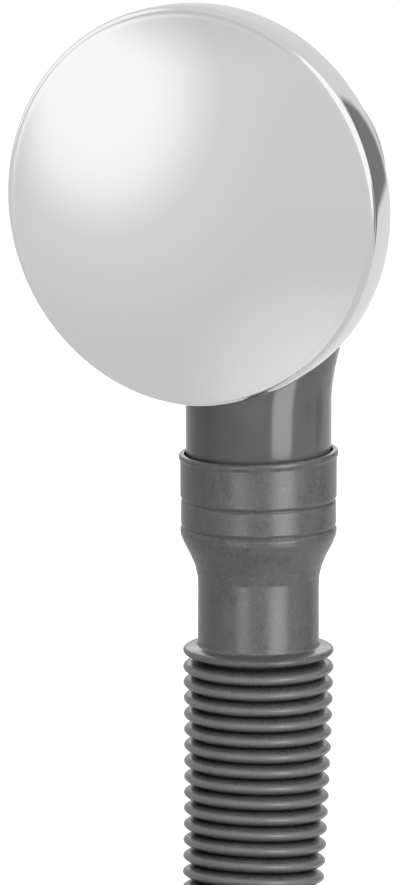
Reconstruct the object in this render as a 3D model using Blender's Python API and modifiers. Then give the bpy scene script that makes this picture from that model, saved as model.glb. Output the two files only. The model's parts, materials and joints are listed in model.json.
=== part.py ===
# Pop-up sink drain: overflow head with a turning knob, ribbed hose, waste body and lifting plug.
# Metres, +Z up, the knob faces -Y. The origin is on the knob's axis, where the rear gasket
# meets the back of the sink's wall.

import math

import bmesh
import bpy
from mathutils import Matrix, Vector

# Driving dimensions
OVERFLOW_HEIGHT = 0.150  # from the sink's floor up to the knob's axis
WASTE_REACH = 0.120  # from the sink's wall forward to the drain's axis
SHEET = 0.0025  # thickness of the sink's sheet, between the gaskets
GAP = 0.0003  # between pieces that touch or run on each other
OVERRUN = 0.001  # how far a cutter passes the face that it cuts
WELD = 0.00001  # points nearer than this are one point

# Facets round a full turn
LARGE_STEPS = 40
MEDIUM_STEPS = 28
SMALL_STEPS = 16

# Knob
KNOB_RADIUS = 0.0367
KNOB_EDGE_INSET = 0.0012  # from the widest ring in to the rim of the domed face
KNOB_EDGE_DEPTH = 0.0016  # from the face's rim back to the widest ring
KNOB_BACK_INSET = 0.0012
KNOB_STANDOFF = 0.0050  # from the wall's back to the knob's back edge
KNOB_SIDE = 0.0094
KNOB_DOME = 0.0034
KNOB_WALL = 0.0014
KNOB_BORE = KNOB_RADIUS - KNOB_BACK_INSET - KNOB_WALL
KNOB_BACK = KNOB_STANDOFF
KNOB_FRONT = KNOB_BACK + KNOB_SIDE

# Overflow bush, screwed into the body from the front of the wall
GASKET_THICKNESS = 0.0012
BUSH_FLANGE_RADIUS = 0.030
BUSH_FLANGE_THICKNESS = 0.0030
BUSH_TUBE_RADIUS = 0.0200
BUSH_TUBE_WALL = 0.0026
BUSH_TUBE_LENGTH = 0.0150
BUSH_HUB_RADIUS = 0.0064
BUSH_SPOKE_WIDTH = 0.0028
BUSH_SPOKE_DEPTH = 0.0060
BUSH_BACK_OF_FLANGE = SHEET + GASKET_THICKNESS + GAP
BUSH_FRONT = BUSH_BACK_OF_FLANGE + BUSH_FLANGE_THICKNESS
BUSH_END = BUSH_FRONT - BUSH_TUBE_LENGTH

# Knob carrier, spindle and what it turns
CARRIER_THICKNESS = 0.0026
CARRIER_HUB_RADIUS = 0.0080
CARRIER_BACK = BUSH_FRONT + 0.5 * BUSH_SPOKE_WIDTH
CARRIER_HUB_HEIGHT = 0.0072
SPINDLE_RADIUS = 0.0040
SPINDLE_SQUARE = 0.0056
SPINDLE_SQUARE_LENGTH = 0.0052
KNOB_SCREW_RADIUS = 0.0013
KNOB_SCREW_LENGTH = 0.0090
KNOB_SCREW_HEAD_RADIUS = 0.0036
KNOB_SCREW_HEAD = 0.0016
CLIP_RADIUS = 0.0058
CLIP_THICKNESS = 0.0010
CLIP_GROOVE_RADIUS = 0.0033
CLIP_MOUTH = 0.0044
PIPE_SET_BACK = 0.0161  # from the wall back to the pipe's axis
WHEEL_PITCH_RADIUS = 0.0065
WHEEL_GROOVE_RADIUS = 0.0052
WHEEL_FLANGE_RADIUS = 0.0088
WHEEL_WIDTH = 0.0068
WHEEL_GROOVE_WIDTH = 0.0030

# Overflow body
REAR_GASKET_THICKNESS = 0.0030
REAR_GASKET_RADIUS = BUSH_FLANGE_RADIUS - 2 * GAP
REAR_GASKET_HOLE = 0.0225
BODY_FLANGE_RADIUS = BUSH_FLANGE_RADIUS
BODY_FLANGE_THICKNESS = 0.0030
BODY_FLANGE_BACK = REAR_GASKET_THICKNESS + GAP + BODY_FLANGE_THICKNESS
BODY_RADIUS = 0.0270
BODY_STRAIGHT = 0.0120  # from the wall back to where the body starts to narrow
BODY_REAR_RADIUS = 0.0195
BODY_ROUND = 0.0022
BODY_WALL = 0.0030
BODY_BOSS_RADIUS = 0.0070
BODY_BOSS_DEPTH = 0.0050
BODY_CAVITY_RADIUS = BUSH_TUBE_RADIUS + GAP
SPIGOT_RADIUS = 0.01335
BODY_DEPTH = PIPE_SET_BACK + SPIGOT_RADIUS  # its rear is level with the rear of its pipe
SPINDLE_REAR = BODY_DEPTH - 1.5 * BODY_WALL
SPIGOT_BORE = 0.0104
SPIGOT_LEDGE_BORE = 0.0112
SPIGOT_FLARE_START = 0.0407  # below the knob's axis
SPIGOT_FLARE_LENGTH = 0.0220
SPIGOT_FLARE_WIDTH = 0.01735  # half the flare's width where it runs up into the body
SPIGOT_FLARE_DEPTH = 0.0129  # half its depth there
SPIGOT_FLARE_SET_BACK = 0.0164
HOSE_TOP = 0.0493  # below the knob's axis, where the hose's lip is
SPIGOT_ENTRY = 0.0155  # how far a spigot goes into the hose
SEAL_TUBE_RADIUS = 0.0007
SEAL_DEPTH = 0.0060  # from the hose's lip to the middle of the seal
SEAL_RADIUS = SPIGOT_RADIUS + 0.5 * GAP - SEAL_TUBE_RADIUS

# Hose
CUFF_RADIUS = 0.01436
CUFF_LIP_RADIUS = 0.01475
CUFF_LIP_HEIGHT = 0.0016
CUFF_RING_PLACE = 0.0104
CUFF_RING_WIDTH = 0.0010
CUFF_RING_DEPTH = 0.00035
CUFF_SHOULDER = 0.0162
CUFF_TAPER_END = 0.0246
NECK_RADIUS = 0.0111
NECK_WALL = 0.0010
NECK_END = 0.0369
COLLAR_LENGTH = 0.0024
COLLAR_PEAK = NECK_END + COLLAR_LENGTH / 2
COLLAR_END = NECK_END + COLLAR_LENGTH
RIB_RADIUS = 0.01385
RIB_FALL = 0.0009  # the ribs' radius shrinks by this over the first ribs
RIB_FALL_COUNT = 15
RIB_DEPTH = 0.0022
RIB_PITCH = 0.0030
HOSE_BORE = 0.0098
UPPER_BEND_RADIUS = 0.400
HOSE_LEAN = math.radians(6)  # how far the upper bend turns the hose to the front
TUBE_BEVEL_STEPS = 2  # gives a tube eight sides

# Waste end
INLET_DROP = 0.0400  # from the sink's floor down to the hose's lower end
INLET_LENGTH = 0.0455  # from the drain's axis to the hose's lower lip
FLOOR_TOP = -OVERFLOW_HEIGHT
FLOOR_UNDER = FLOOR_TOP - SHEET
INLET_Z = FLOOR_TOP - INLET_DROP
WASTE_RIM_RADIUS = 0.0330
WASTE_RIM_THICKNESS = 0.0035
WASTE_RADIUS = 0.0272
WASTE_WALL = 0.0028
WASTE_BOWL_END = 0.0540  # below the sink's floor
WASTE_CONE_END = 0.0640
OUTLET_RADIUS = 0.0209
OUTLET_BORE = 0.0180
OUTLET_END = 0.0820
LOWER_GASKET_THICKNESS = 0.0030
LOWER_GASKET_RADIUS = 0.0320
LOWER_GASKET_HOLE = 0.0240
UPPER_GASKET_THICKNESS = 0.0010
FLANGE_RADIUS = 0.0350
FLANGE_THICKNESS = 0.0015
THROAT_RADIUS = 0.0235
THROAT_WALL = 0.0015
THROAT_DEPTH = 0.0125
THROAT_LEAD_IN = 0.0020
CROSS_THICKNESS = 0.0022
CROSS_WIDTH = 0.0030
CROSS_HUB_RADIUS = 0.0085
BOLT_RADIUS = 0.0049
BOLT_HEAD_RADIUS = 0.0075
BOLT_HEAD = 0.0030
BOLT_LENGTH = 0.0120
BOLT_STEM_BORE = 0.0025
BOLT_FOOT_BORE = 0.0035
BOLT_STEP = 0.0043  # from under the head down to the wider bore
SPIDER_TOP = 0.0150  # below the sink's floor
SPIDER_THICKNESS = 0.0060
SPIDER_HUB_RADIUS = 0.0080
LUG_INSIDE = 0.0044
LUG_THICKNESS = 0.0022
LUG_REACH = 0.0042
BODY_RIM_TOP = FLOOR_UNDER - LOWER_GASKET_THICKNESS - GAP
FLANGE_UNDER = FLOOR_TOP + UPPER_GASKET_THICKNESS + GAP
FLANGE_TOP = FLANGE_UNDER + FLANGE_THICKNESS

# Plug
PLUG_RADIUS = 0.0300
PLUG_THICKNESS = 0.0022
PLUG_DOME = 0.0026
PLUG_UNDER = FLANGE_TOP + GAP
PLUG_HUB_RADIUS = 0.0117
PLUG_HUB = 0.0013
PLUG_SEAL_THICKNESS = 0.0020
PLUG_SEAL_HOLE = 0.0060
RETAINER_RADIUS = 0.0140
RETAINER_THICKNESS = 0.0018
STEM_RADIUS = 0.0022
STEM_HOLE_DEPTH = 0.0020
NUT_RADIUS = 0.0031
NUT_HEIGHT = 0.0016
FOOT_RADIUS = 0.0030
FOOT_HEIGHT = 0.0050
FOOT_DROP = 0.0296  # from the sink's floor down to the foot's lowest point

# Rocker, which turns the cable's push into lift
ROCKER_ARM = 0.0130
ROCKER_TIP_RADIUS = 0.0020
ROCKER_HUB_RADIUS = 0.0040
ROCKER_THICKNESS = 0.0060
ROCKER_SWING = math.radians(45)
ROCKER_PIN_RADIUS = 0.0015
ROCKER_PIN_LENGTH = 0.0150
PIVOT_Y = -WASTE_REACH + ROCKER_ARM
PIVOT_Z = INLET_Z + ROCKER_ARM

# Cable
CORE_RADIUS = 0.00075
CORE_NIPPLE_RADIUS = 0.0010
CORE_NIPPLE_LENGTH = 0.0025
CORE_TOP = 0.0030
CORE_BOTTOM = 0.0300
FERRULE_RADIUS = 0.0026
FERRULE_BORE = 0.0011
FERRULE_TOP = 0.0220
FERRULE_END = 0.0460
FERRULE_FLOOR = 0.0015
FERRULE_COLLAR_RADIUS = 0.0034
FERRULE_COLLAR = 0.0016
HOLDER_TOP = 0.0280
HOLDER_THICKNESS = 0.0030
HOLDER_RING = 0.0017
HOLDER_BAR = 0.0030
HOLDER_BOSS_RADIUS = 0.0042
SHEATH_RADIUS = 0.0024
GUIDE_RADIUS = 0.0034
GUIDE_BORE = 0.0018
GUIDE_START = 0.0520  # from the drain's axis
GUIDE_END = 0.0280
GUIDE_FLOOR = 0.0020
GUIDE_FIN_WIDTH = 0.0016
GUIDE_FIN_START = 0.0480
GUIDE_FIN_END = 0.0340
GUIDE_FINS = 3
PUSHER_RADIUS = 0.0015
PUSHER_LENGTH = 0.0270
PUSHER_TIP_Y = PIVOT_Y + ROCKER_ARM * math.sin(ROCKER_SWING / 2) + ROCKER_TIP_RADIUS + GAP

# Colours, roughness and metallic value of each material
MATERIALS = {
    "chrome": ((0.78, 0.79, 0.80), 0.08, 1.0),
    "steel": ((0.62, 0.62, 0.61), 0.28, 1.0),
    "brass": ((0.70, 0.55, 0.28), 0.30, 1.0),
    "grey_plastic": ((0.125, 0.125, 0.128), 0.42, 0.0),
    "white_plastic": ((0.72, 0.72, 0.70), 0.45, 0.0),
    "rubber": ((0.030, 0.030, 0.032), 0.75, 0.0),
}

HEAD_TURN = (math.radians(90), 0, 0)  # turns a shape's own +Z to the front, -Y


def clear_scene():
    for obj in list(bpy.data.objects):
        bpy.data.objects.remove(obj, do_unlink=True)


def new_collection(name):
    collection = bpy.data.collections.new(name)
    bpy.context.scene.collection.children.link(collection)
    return collection


def material(name):
    found = bpy.data.materials.get(name)
    if found:
        return found
    made = bpy.data.materials.new(name)
    made.use_nodes = True
    colour, roughness, metallic = MATERIALS[name]
    shader = made.node_tree.nodes["Principled BSDF"]
    shader.inputs["Base Color"].default_value = (*colour, 1)
    shader.inputs["Roughness"].default_value = roughness
    shader.inputs["Metallic"].default_value = metallic
    return made


def add_object(name, data, finish=None, place=(0, 0, 0), turn=(0, 0, 0)):
    """A visible piece when a finish is given, and otherwise a hidden helper."""
    obj = bpy.data.objects.new(name, data)
    obj.location = place
    obj.rotation_euler = turn
    if finish:
        data.materials.append(material(finish))
        PARTS.objects.link(obj)
    else:
        obj.hide_render = True
        obj.display_type = "WIRE"
        CUTTERS.objects.link(obj)
    return obj


def mesh_from(name, build):
    """A mesh made by a function that fills a bmesh."""
    shape = bmesh.new()
    build(shape)
    mesh = bpy.data.meshes.new(name)
    shape.to_mesh(mesh)
    shape.free()
    return mesh


def turned(name, profile, steps, finish=None, place=(0, 0, 0), turn=(0, 0, 0), ring=False):
    """A turned shape about its own Z, from (radius, height) points that run down its outer side."""
    count = len(profile)
    edges = [(i, i + 1) for i in range(count - 1)]
    if ring:
        edges.append((count - 1, 0))
    mesh = bpy.data.meshes.new(name)
    mesh.from_pydata([(radius, 0, height) for radius, height in profile], edges, [])
    obj = add_object(name, mesh, finish, place, turn)
    screw = obj.modifiers.new("turn", "SCREW")
    screw.steps = steps
    screw.render_steps = steps
    screw.use_merge_vertices = True
    screw.merge_threshold = WELD
    screw.use_smooth_shade = True
    return obj


def cylinder(name, radius, top, bottom, steps, finish=None, place=(0, 0, 0), turn=(0, 0, 0)):
    profile = [(0, top), (radius, top), (radius, bottom), (0, bottom)]
    return turned(name, profile, steps, finish, place, turn)


def tube(name, outer, inner, top, bottom, steps, finish=None, place=(0, 0, 0), turn=(0, 0, 0)):
    profile = [(inner, top), (outer, top), (outer, bottom), (inner, bottom)]
    return turned(name, profile, steps, finish, place, turn, ring=True)


def box(name, low, high, finish=None, place=(0, 0, 0), turn=(0, 0, 0)):
    """A box between two corners."""
    low, high = Vector(low), Vector(high)
    size = Matrix.Diagonal((*(high - low), 1))
    middle = Matrix.Translation((low + high) / 2)
    mesh = mesh_from(name, lambda shape: bmesh.ops.create_cube(shape, size=1, matrix=middle @ size))
    return add_object(name, mesh, finish, place, turn)


def combine(obj, other, operation):
    change = obj.modifiers.new(other.name, "BOOLEAN")
    change.operation = operation
    change.object = other
    return obj


def cut(obj, *others):
    for other in others:
        combine(obj, other, "DIFFERENCE")
    return obj


def join(obj, *others):
    for other in others:
        combine(obj, other, "UNION")
    return obj


def arc(centre, radius, start, end, count):
    """Points on an arc, angles in degrees, as (radius, height) pairs."""
    points = []
    for i in range(count + 1):
        angle = math.radians(start + (end - start) * i / count)
        points.append((centre[0] + radius * math.cos(angle), centre[1] + radius * math.sin(angle)))
    return points


def dome(radius, edge_height, rise, count):
    """Points of a spherical cap from its top outward."""
    sphere = (radius**2 + rise**2) / (2 * rise)
    points = []
    for i in range(count + 1):
        out = radius * i / count
        points.append((out, edge_height + rise - sphere + math.sqrt(sphere**2 - out**2)))
    return points


def smooth_step(share):
    return share * share * (3 - 2 * share)


def curve_tube(name, points, radii, finish=None):
    """A mesh tube along a poly spline, with its own radius at each point and filled ends."""
    curve = bpy.data.curves.new(name, "CURVE")
    curve.dimensions = "3D"
    curve.twist_mode = "MINIMUM"
    curve.bevel_depth = 1
    curve.bevel_resolution = TUBE_BEVEL_STEPS
    curve.use_fill_caps = True
    spline = curve.splines.new("POLY")
    spline.points.add(len(points) - 1)
    for spot, point, radius in zip(spline.points, points, radii):
        spot.co = (*point, 1)
        spot.radius = radius
    guide = add_object(name + "_route", curve)
    bpy.context.view_layer.update()
    graph = bpy.context.evaluated_depsgraph_get()
    mesh = bpy.data.meshes.new_from_object(guide.evaluated_get(graph))
    placed = guide.matrix_world.copy()
    bpy.data.objects.remove(guide, do_unlink=True)
    shape = bmesh.new()
    shape.from_mesh(mesh)
    bmesh.ops.remove_doubles(shape, verts=shape.verts, dist=WELD)
    bmesh.ops.recalc_face_normals(shape, faces=shape.faces)
    shape.to_mesh(mesh)
    shape.free()
    obj = add_object(name, mesh, finish)
    obj.matrix_world = placed
    return obj


def make_knob():
    """Domed chrome cap, thin, open at the back, widest a little behind the rim of its face."""
    profile = dome(KNOB_RADIUS - KNOB_EDGE_INSET, KNOB_FRONT, KNOB_DOME, 9)
    steps = 4
    for i in range(1, steps + 1):
        angle = math.pi / 2 * i / steps
        out = KNOB_EDGE_INSET * (1 - math.sin(angle))
        profile.append((KNOB_RADIUS - out, KNOB_FRONT - KNOB_EDGE_DEPTH * (1 - math.cos(angle))))
    profile += [(KNOB_RADIUS - KNOB_BACK_INSET, KNOB_BACK), (KNOB_BORE, KNOB_BACK)]
    lining = dome(KNOB_BORE, KNOB_FRONT - KNOB_WALL, KNOB_DOME, 5)
    turned("knob_cap", profile + lining[::-1], LARGE_STEPS, "chrome", turn=HEAD_TURN)


def make_carrier():
    """Plastic disc inside the cap, with ribs and a square hole for the spindle."""
    radius = KNOB_BORE - GAP
    back = CARRIER_BACK
    face = back + CARRIER_THICKNESS
    top = back + CARRIER_HUB_HEIGHT
    hub = CARRIER_HUB_RADIUS
    profile = [(0, top), (hub, top), (hub, face), (radius, face), (radius, back), (0, back)]
    carrier = turned("knob_carrier", profile, LARGE_STEPS, "grey_plastic", turn=HEAD_TURN)
    for i in range(3):
        wide = CROSS_WIDTH / 4
        low = (-radius + GAP, -wide, face - GAP)
        high = (radius - GAP, wide, face + CARRIER_THICKNESS / 2)
        rib = box(f"carrier_rib_{i}", low, high, turn=HEAD_TURN)
        rib.rotation_euler.rotate_axis("Z", i * math.pi / 3)
        join(carrier, rib)
    half = SPINDLE_SQUARE / 2 + GAP
    low = (-half, -half, back - OVERRUN)
    cut(carrier, box("carrier_square", low, (half, half, top + OVERRUN), turn=HEAD_TURN))
    seat = back + SPINDLE_SQUARE_LENGTH + GAP
    recess = KNOB_SCREW_HEAD_RADIUS + GAP
    cut(carrier, cylinder("screw_recess", recess, top + OVERRUN, seat, SMALL_STEPS, turn=HEAD_TURN))


def make_spindle():
    back = CARRIER_BACK
    spindle = cylinder("spindle", SPINDLE_RADIUS, back, -SPINDLE_REAR, SMALL_STEPS, "steel", turn=HEAD_TURN)
    half = SPINDLE_SQUARE / 2
    top = back + SPINDLE_SQUARE_LENGTH
    join(spindle, box("spindle_square", (-half, -half, back - OVERRUN), (half, half, top), turn=HEAD_TURN))
    depth = top - KNOB_SCREW_LENGTH - OVERRUN
    bore = KNOB_SCREW_RADIUS + GAP
    cut(spindle, cylinder("spindle_thread", bore, top + OVERRUN, depth, SMALL_STEPS, turn=HEAD_TURN))
    groove_top = BUSH_END - GAP
    groove_end = groove_top - CLIP_THICKNESS - 2 * GAP
    outer = SPINDLE_RADIUS + OVERRUN
    inner = CLIP_GROOVE_RADIUS
    groove = tube("clip_groove", outer, inner, groove_top, groove_end, SMALL_STEPS, turn=HEAD_TURN)
    cut(spindle, groove)


def make_knob_screw():
    seat = CARRIER_BACK + SPINDLE_SQUARE_LENGTH + 2 * GAP
    head = seat + KNOB_SCREW_HEAD
    end = seat - KNOB_SCREW_LENGTH
    radius = KNOB_SCREW_HEAD_RADIUS
    profile = [(0, head), (radius * 0.8, head), (radius, seat + KNOB_SCREW_HEAD / 2), (radius, seat)]
    profile += [(KNOB_SCREW_RADIUS, seat), (KNOB_SCREW_RADIUS, end), (0, end)]
    screw = turned("knob_screw", profile, SMALL_STEPS, "steel", turn=HEAD_TURN)
    slot = KNOB_SCREW_RADIUS / 3
    low = (-radius - OVERRUN, -slot, head - KNOB_SCREW_HEAD / 2)
    cut(screw, box("screw_slot", low, (radius + OVERRUN, slot, head + OVERRUN), turn=HEAD_TURN))


def make_clip():
    """Open retaining ring in the spindle's groove, behind the bush."""
    top = BUSH_END - 2 * GAP
    inner = CLIP_GROOVE_RADIUS + GAP / 2
    end = top - CLIP_THICKNESS
    clip = tube("spindle_clip", CLIP_RADIUS, inner, top, end, SMALL_STEPS, "steel", turn=HEAD_TURN)
    half = CLIP_MOUTH / 2
    low = (-half, -CLIP_RADIUS - OVERRUN, end - OVERRUN)
    cut(clip, box("clip_mouth", low, (half, 0, top + OVERRUN), turn=HEAD_TURN))


def make_cable_wheel():
    """Grooved wheel on the spindle that the cable's core runs over."""
    middle = -PIPE_SET_BACK
    top = middle + WHEEL_WIDTH / 2
    end = middle - WHEEL_WIDTH / 2
    groove = WHEEL_GROOVE_WIDTH / 2
    bore = SPINDLE_RADIUS + GAP
    rim = WHEEL_FLANGE_RADIUS
    floor = WHEEL_GROOVE_RADIUS
    profile = [(bore, top), (rim, top), (rim, middle + groove), (floor, middle + groove)]
    profile += [(floor, middle - groove), (rim, middle - groove), (rim, end), (bore, end)]
    turned("cable_wheel", profile, SMALL_STEPS + SMALL_STEPS // 2, "brass", turn=HEAD_TURN, ring=True)


def make_bush():
    """Flanged tube with four spokes and a bearing for the spindle; water runs between them."""
    inner = BUSH_TUBE_RADIUS - BUSH_TUBE_WALL
    chamfer = BUSH_FLANGE_THICKNESS / 3
    flange = BUSH_FLANGE_RADIUS
    profile = [
        (inner, BUSH_FRONT),
        (flange - chamfer, BUSH_FRONT),
        (flange, BUSH_FRONT - chamfer),
        (flange, BUSH_BACK_OF_FLANGE),
        (BUSH_TUBE_RADIUS, BUSH_BACK_OF_FLANGE),
        (BUSH_TUBE_RADIUS, BUSH_END),
        (inner, BUSH_END),
    ]
    bush = turned("overflow_bush", profile, LARGE_STEPS, "grey_plastic", turn=HEAD_TURN, ring=True)
    reach = inner + BUSH_TUBE_WALL / 2
    half = BUSH_SPOKE_WIDTH / 2
    end = BUSH_FRONT - BUSH_SPOKE_DEPTH
    join(bush, box("bush_spokes_x", (-reach, -half, end), (reach, half, BUSH_FRONT), turn=HEAD_TURN))
    join(bush, box("bush_spokes_z", (-half, -reach, end), (half, reach, BUSH_FRONT), turn=HEAD_TURN))
    hub_top = BUSH_FRONT + GAP
    join(bush, cylinder("bush_hub", BUSH_HUB_RADIUS, hub_top, BUSH_END, SMALL_STEPS, turn=HEAD_TURN))
    bore = SPINDLE_RADIUS + GAP
    top = hub_top + OVERRUN
    cut(bush, cylinder("bush_bore", bore, top, BUSH_END - OVERRUN, SMALL_STEPS, turn=HEAD_TURN))


def make_wall_gaskets():
    front = SHEET + GASKET_THICKNESS
    hole = BUSH_TUBE_RADIUS + GAP
    outer = BUSH_FLANGE_RADIUS - 2 * GAP
    tube("front_gasket", outer, hole, front, SHEET, MEDIUM_STEPS, "rubber", turn=HEAD_TURN)
    back = -REAR_GASKET_THICKNESS
    radius = REAR_GASKET_RADIUS
    tube("rear_gasket", radius, REAR_GASKET_HOLE, 0, back, MEDIUM_STEPS, "rubber", turn=HEAD_TURN)


def body_outline():
    """The overflow body about the knob's axis, its heights measured forward."""
    front = -REAR_GASKET_THICKNESS - GAP
    round_centre = (BODY_REAR_RADIUS - BODY_ROUND, -BODY_DEPTH + BODY_ROUND)
    profile = [(0, front), (BODY_FLANGE_RADIUS, front), (BODY_FLANGE_RADIUS, -BODY_FLANGE_BACK)]
    profile += [(BODY_RADIUS, -BODY_FLANGE_BACK), (BODY_RADIUS, -BODY_STRAIGHT)]
    return profile + arc(round_centre, BODY_ROUND, 15, -90, 4) + [(0, -BODY_DEPTH)]


def cavity_outline():
    """The hollow of the overflow body, which leaves a boss for the spindle's rear end."""
    floor = -BODY_DEPTH + BODY_WALL
    boss_top = floor + BODY_BOSS_DEPTH
    bore = SPINDLE_RADIUS + GAP
    profile = [(0, 0), (BODY_CAVITY_RADIUS, 0), (BODY_CAVITY_RADIUS, -BODY_STRAIGHT - BODY_WALL)]
    profile += [(BODY_REAR_RADIUS - BODY_WALL, floor), (BODY_BOSS_RADIUS, floor)]
    profile += [(BODY_BOSS_RADIUS, boss_top), (bore, boss_top), (bore, -SPINDLE_REAR - GAP)]
    return profile + [(0, -SPINDLE_REAR - GAP)]


def loft(name, rings):
    """A closed hidden shape through rings of points, run from the top ring to the bottom one."""

    def build(shape):
        rows = [[shape.verts.new(point) for point in ring] for ring in rings]
        count = len(rows[0])
        shape.faces.new(rows[0])
        shape.faces.new(rows[-1][::-1])
        for upper, lower in zip(rows, rows[1:]):
            for i in range(count):
                after = (i + 1) % count
                shape.faces.new((upper[i], lower[i], lower[after], upper[after]))

    return add_object(name, mesh_from(name, build))


def ellipse(across, deep, set_back, height):
    """A level ring of points, anticlockwise seen from above."""
    points = []
    for i in range(MEDIUM_STEPS):
        angle = 2 * math.pi * i / MEDIUM_STEPS
        points.append((across * math.cos(angle), set_back + deep * math.sin(angle), height))
    return points


def spigot_rings():
    """The body's downward pipe, from inside the body over the flare to the tip."""
    rings = [ellipse(SPIGOT_FLARE_WIDTH, SPIGOT_FLARE_DEPTH, SPIGOT_FLARE_SET_BACK, -BODY_RADIUS / 2)]
    top = SPIGOT_FLARE_LENGTH - SPIGOT_FLARE_START
    steps = 7
    for i in range(steps + 1):
        share = i / steps
        narrowing = smooth_step(share)
        late = share**3
        across = SPIGOT_FLARE_WIDTH + (SPIGOT_RADIUS - SPIGOT_FLARE_WIDTH) * narrowing
        deep = SPIGOT_FLARE_DEPTH + (SPIGOT_RADIUS - SPIGOT_FLARE_DEPTH) * late
        set_back = SPIGOT_FLARE_SET_BACK + (PIPE_SET_BACK - SPIGOT_FLARE_SET_BACK) * late
        rings.append(ellipse(across, deep, set_back, top - SPIGOT_FLARE_LENGTH * share))
    for radius, height in spigot_end(-HOSE_TOP)[:-1]:
        rings.append(ellipse(radius, radius, PIPE_SET_BACK, height))
    return rings


def spigot_end(lip):
    """The end of a spigot below the hose's lip: seal groove, chamfer and flat tip."""
    half = SEAL_TUBE_RADIUS + GAP
    middle = lip - SEAL_DEPTH
    floor = SEAL_RADIUS - SEAL_TUBE_RADIUS - GAP
    end = lip - SPIGOT_ENTRY
    chamfer = SEAL_TUBE_RADIUS
    points = [(SPIGOT_RADIUS, middle + half), (floor, middle + half), (floor, middle - half)]
    points += [(SPIGOT_RADIUS, middle - half), (SPIGOT_RADIUS, end + chamfer)]
    return points + [(SPIGOT_RADIUS - chamfer, end), (0, end)]


def make_overflow_body():
    body = turned("overflow_body", body_outline(), LARGE_STEPS, "grey_plastic", turn=HEAD_TURN)
    pipe = (0, PIPE_SET_BACK, 0)
    join(body, loft("body_spigot", spigot_rings()))
    cut(body, turned("body_cavity", cavity_outline(), MEDIUM_STEPS, turn=HEAD_TURN))
    ledge = -HOLDER_TOP - HOLDER_THICKNESS - GAP
    lower_end = -HOSE_TOP - SPIGOT_ENTRY - OVERRUN
    bore = [(0, -BODY_RADIUS / 2), (SPIGOT_LEDGE_BORE, -BODY_RADIUS / 2), (SPIGOT_LEDGE_BORE, ledge)]
    bore += [(SPIGOT_BORE, ledge), (SPIGOT_BORE, lower_end), (0, lower_end)]
    cut(body, turned("body_bore", bore, MEDIUM_STEPS, place=pipe))


def make_seal(name, place, height, turn):
    """Rubber ring between a spigot and the hose's cuff."""
    profile = arc((SEAL_RADIUS, height), SEAL_TUBE_RADIUS, 90, -270, 6)[:-1]
    turned(name, profile, MEDIUM_STEPS, "rubber", place, turn, ring=True)


def cuff_outline():
    """Outer side of a hose end, from the lip to the collar below its neck, as (radius, depth)."""
    ring = CUFF_RING_PLACE
    half = CUFF_RING_WIDTH / 2
    points = [
        (CUFF_RADIUS, 0),
        (CUFF_LIP_RADIUS, CUFF_LIP_HEIGHT / 4),
        (CUFF_LIP_RADIUS, CUFF_LIP_HEIGHT * 3 / 4),
        (CUFF_RADIUS, CUFF_LIP_HEIGHT),
        (CUFF_RADIUS, ring - half),
        (CUFF_RADIUS - CUFF_RING_DEPTH, ring),
        (CUFF_RADIUS - CUFF_RING_DEPTH / 2, ring + half),
        (CUFF_RADIUS - CUFF_RING_DEPTH / 2, CUFF_SHOULDER - CUFF_RING_WIDTH),
        (CUFF_RADIUS, CUFF_SHOULDER),
    ]
    steps = 5
    for i in range(1, steps + 1):
        share = i / steps
        radius = CUFF_RADIUS + (NECK_RADIUS - CUFF_RADIUS) * smooth_step(share)
        points.append((radius, CUFF_SHOULDER + (CUFF_TAPER_END - CUFF_SHOULDER) * share))
    points.append((NECK_RADIUS, NECK_END))
    collar = COLLAR_END - NECK_END
    points.append((RIB_RADIUS - RIB_DEPTH / 3, NECK_END + collar / 6))
    points.append((RIB_RADIUS, COLLAR_PEAK - collar / 8))
    points.append((RIB_RADIUS, COLLAR_PEAK + collar / 8))
    points.append((RIB_RADIUS - RIB_DEPTH, COLLAR_END))
    return points


def cuff_solid(name, place, turn):
    outline = [(radius, -depth) for radius, depth in cuff_outline()]
    return turned(name, [(0, 0)] + outline + [(0, -COLLAR_END)], MEDIUM_STEPS, place=place, turn=turn)


def cuff_bore(name, place, turn):
    wide = SPIGOT_RADIUS + GAP
    narrow = NECK_RADIUS - NECK_WALL
    seat = SPIGOT_ENTRY + GAP
    profile = [(0, OVERRUN), (wide, OVERRUN), (wide, -seat), (narrow, -CUFF_TAPER_END)]
    profile += [(narrow, -COLLAR_PEAK), (0, -COLLAR_PEAK)]
    return turned(name, profile, MEDIUM_STEPS, place=place, turn=turn)


def hose_runs():
    """The ribbed stretch's straight length and lower bend's radius, which make its ends meet."""
    forward = PIPE_SET_BACK + WASTE_REACH - INLET_LENGTH - COLLAR_END
    forward -= UPPER_BEND_RADIUS * (1 - math.cos(HOSE_LEAN))
    drop = -HOSE_TOP - COLLAR_END - INLET_Z - UPPER_BEND_RADIUS * math.sin(HOSE_LEAN)
    left = 1 - math.sin(HOSE_LEAN)
    radius = (forward * math.cos(HOSE_LEAN) - drop * math.sin(HOSE_LEAN)) / left
    return (drop - radius * left) / math.cos(HOSE_LEAN), radius


def hose_point(travel):
    """A point of the ribbed stretch's centre line, by the distance run from its top."""
    straight, radius = hose_runs()
    upper = min(max(travel, 0), UPPER_BEND_RADIUS * HOSE_LEAN)
    middle = min(max(travel - upper, 0), straight)
    turned_by = min(max(travel - upper - middle, 0) / radius, math.pi / 2 - HOSE_LEAN)
    before = min(travel, 0)
    after = travel - before - upper - middle - turned_by * radius
    lean, end = upper / UPPER_BEND_RADIUS, HOSE_LEAN + turned_by
    forward = UPPER_BEND_RADIUS * (1 - math.cos(lean)) + middle * math.sin(HOSE_LEAN)
    forward += radius * (math.cos(HOSE_LEAN) - math.cos(end)) + after
    drop = before + UPPER_BEND_RADIUS * math.sin(lean) + middle * math.cos(HOSE_LEAN)
    drop += radius * (math.sin(end) - math.sin(HOSE_LEAN))
    return (0, PIPE_SET_BACK - forward, -HOSE_TOP - COLLAR_END - drop)


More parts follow.
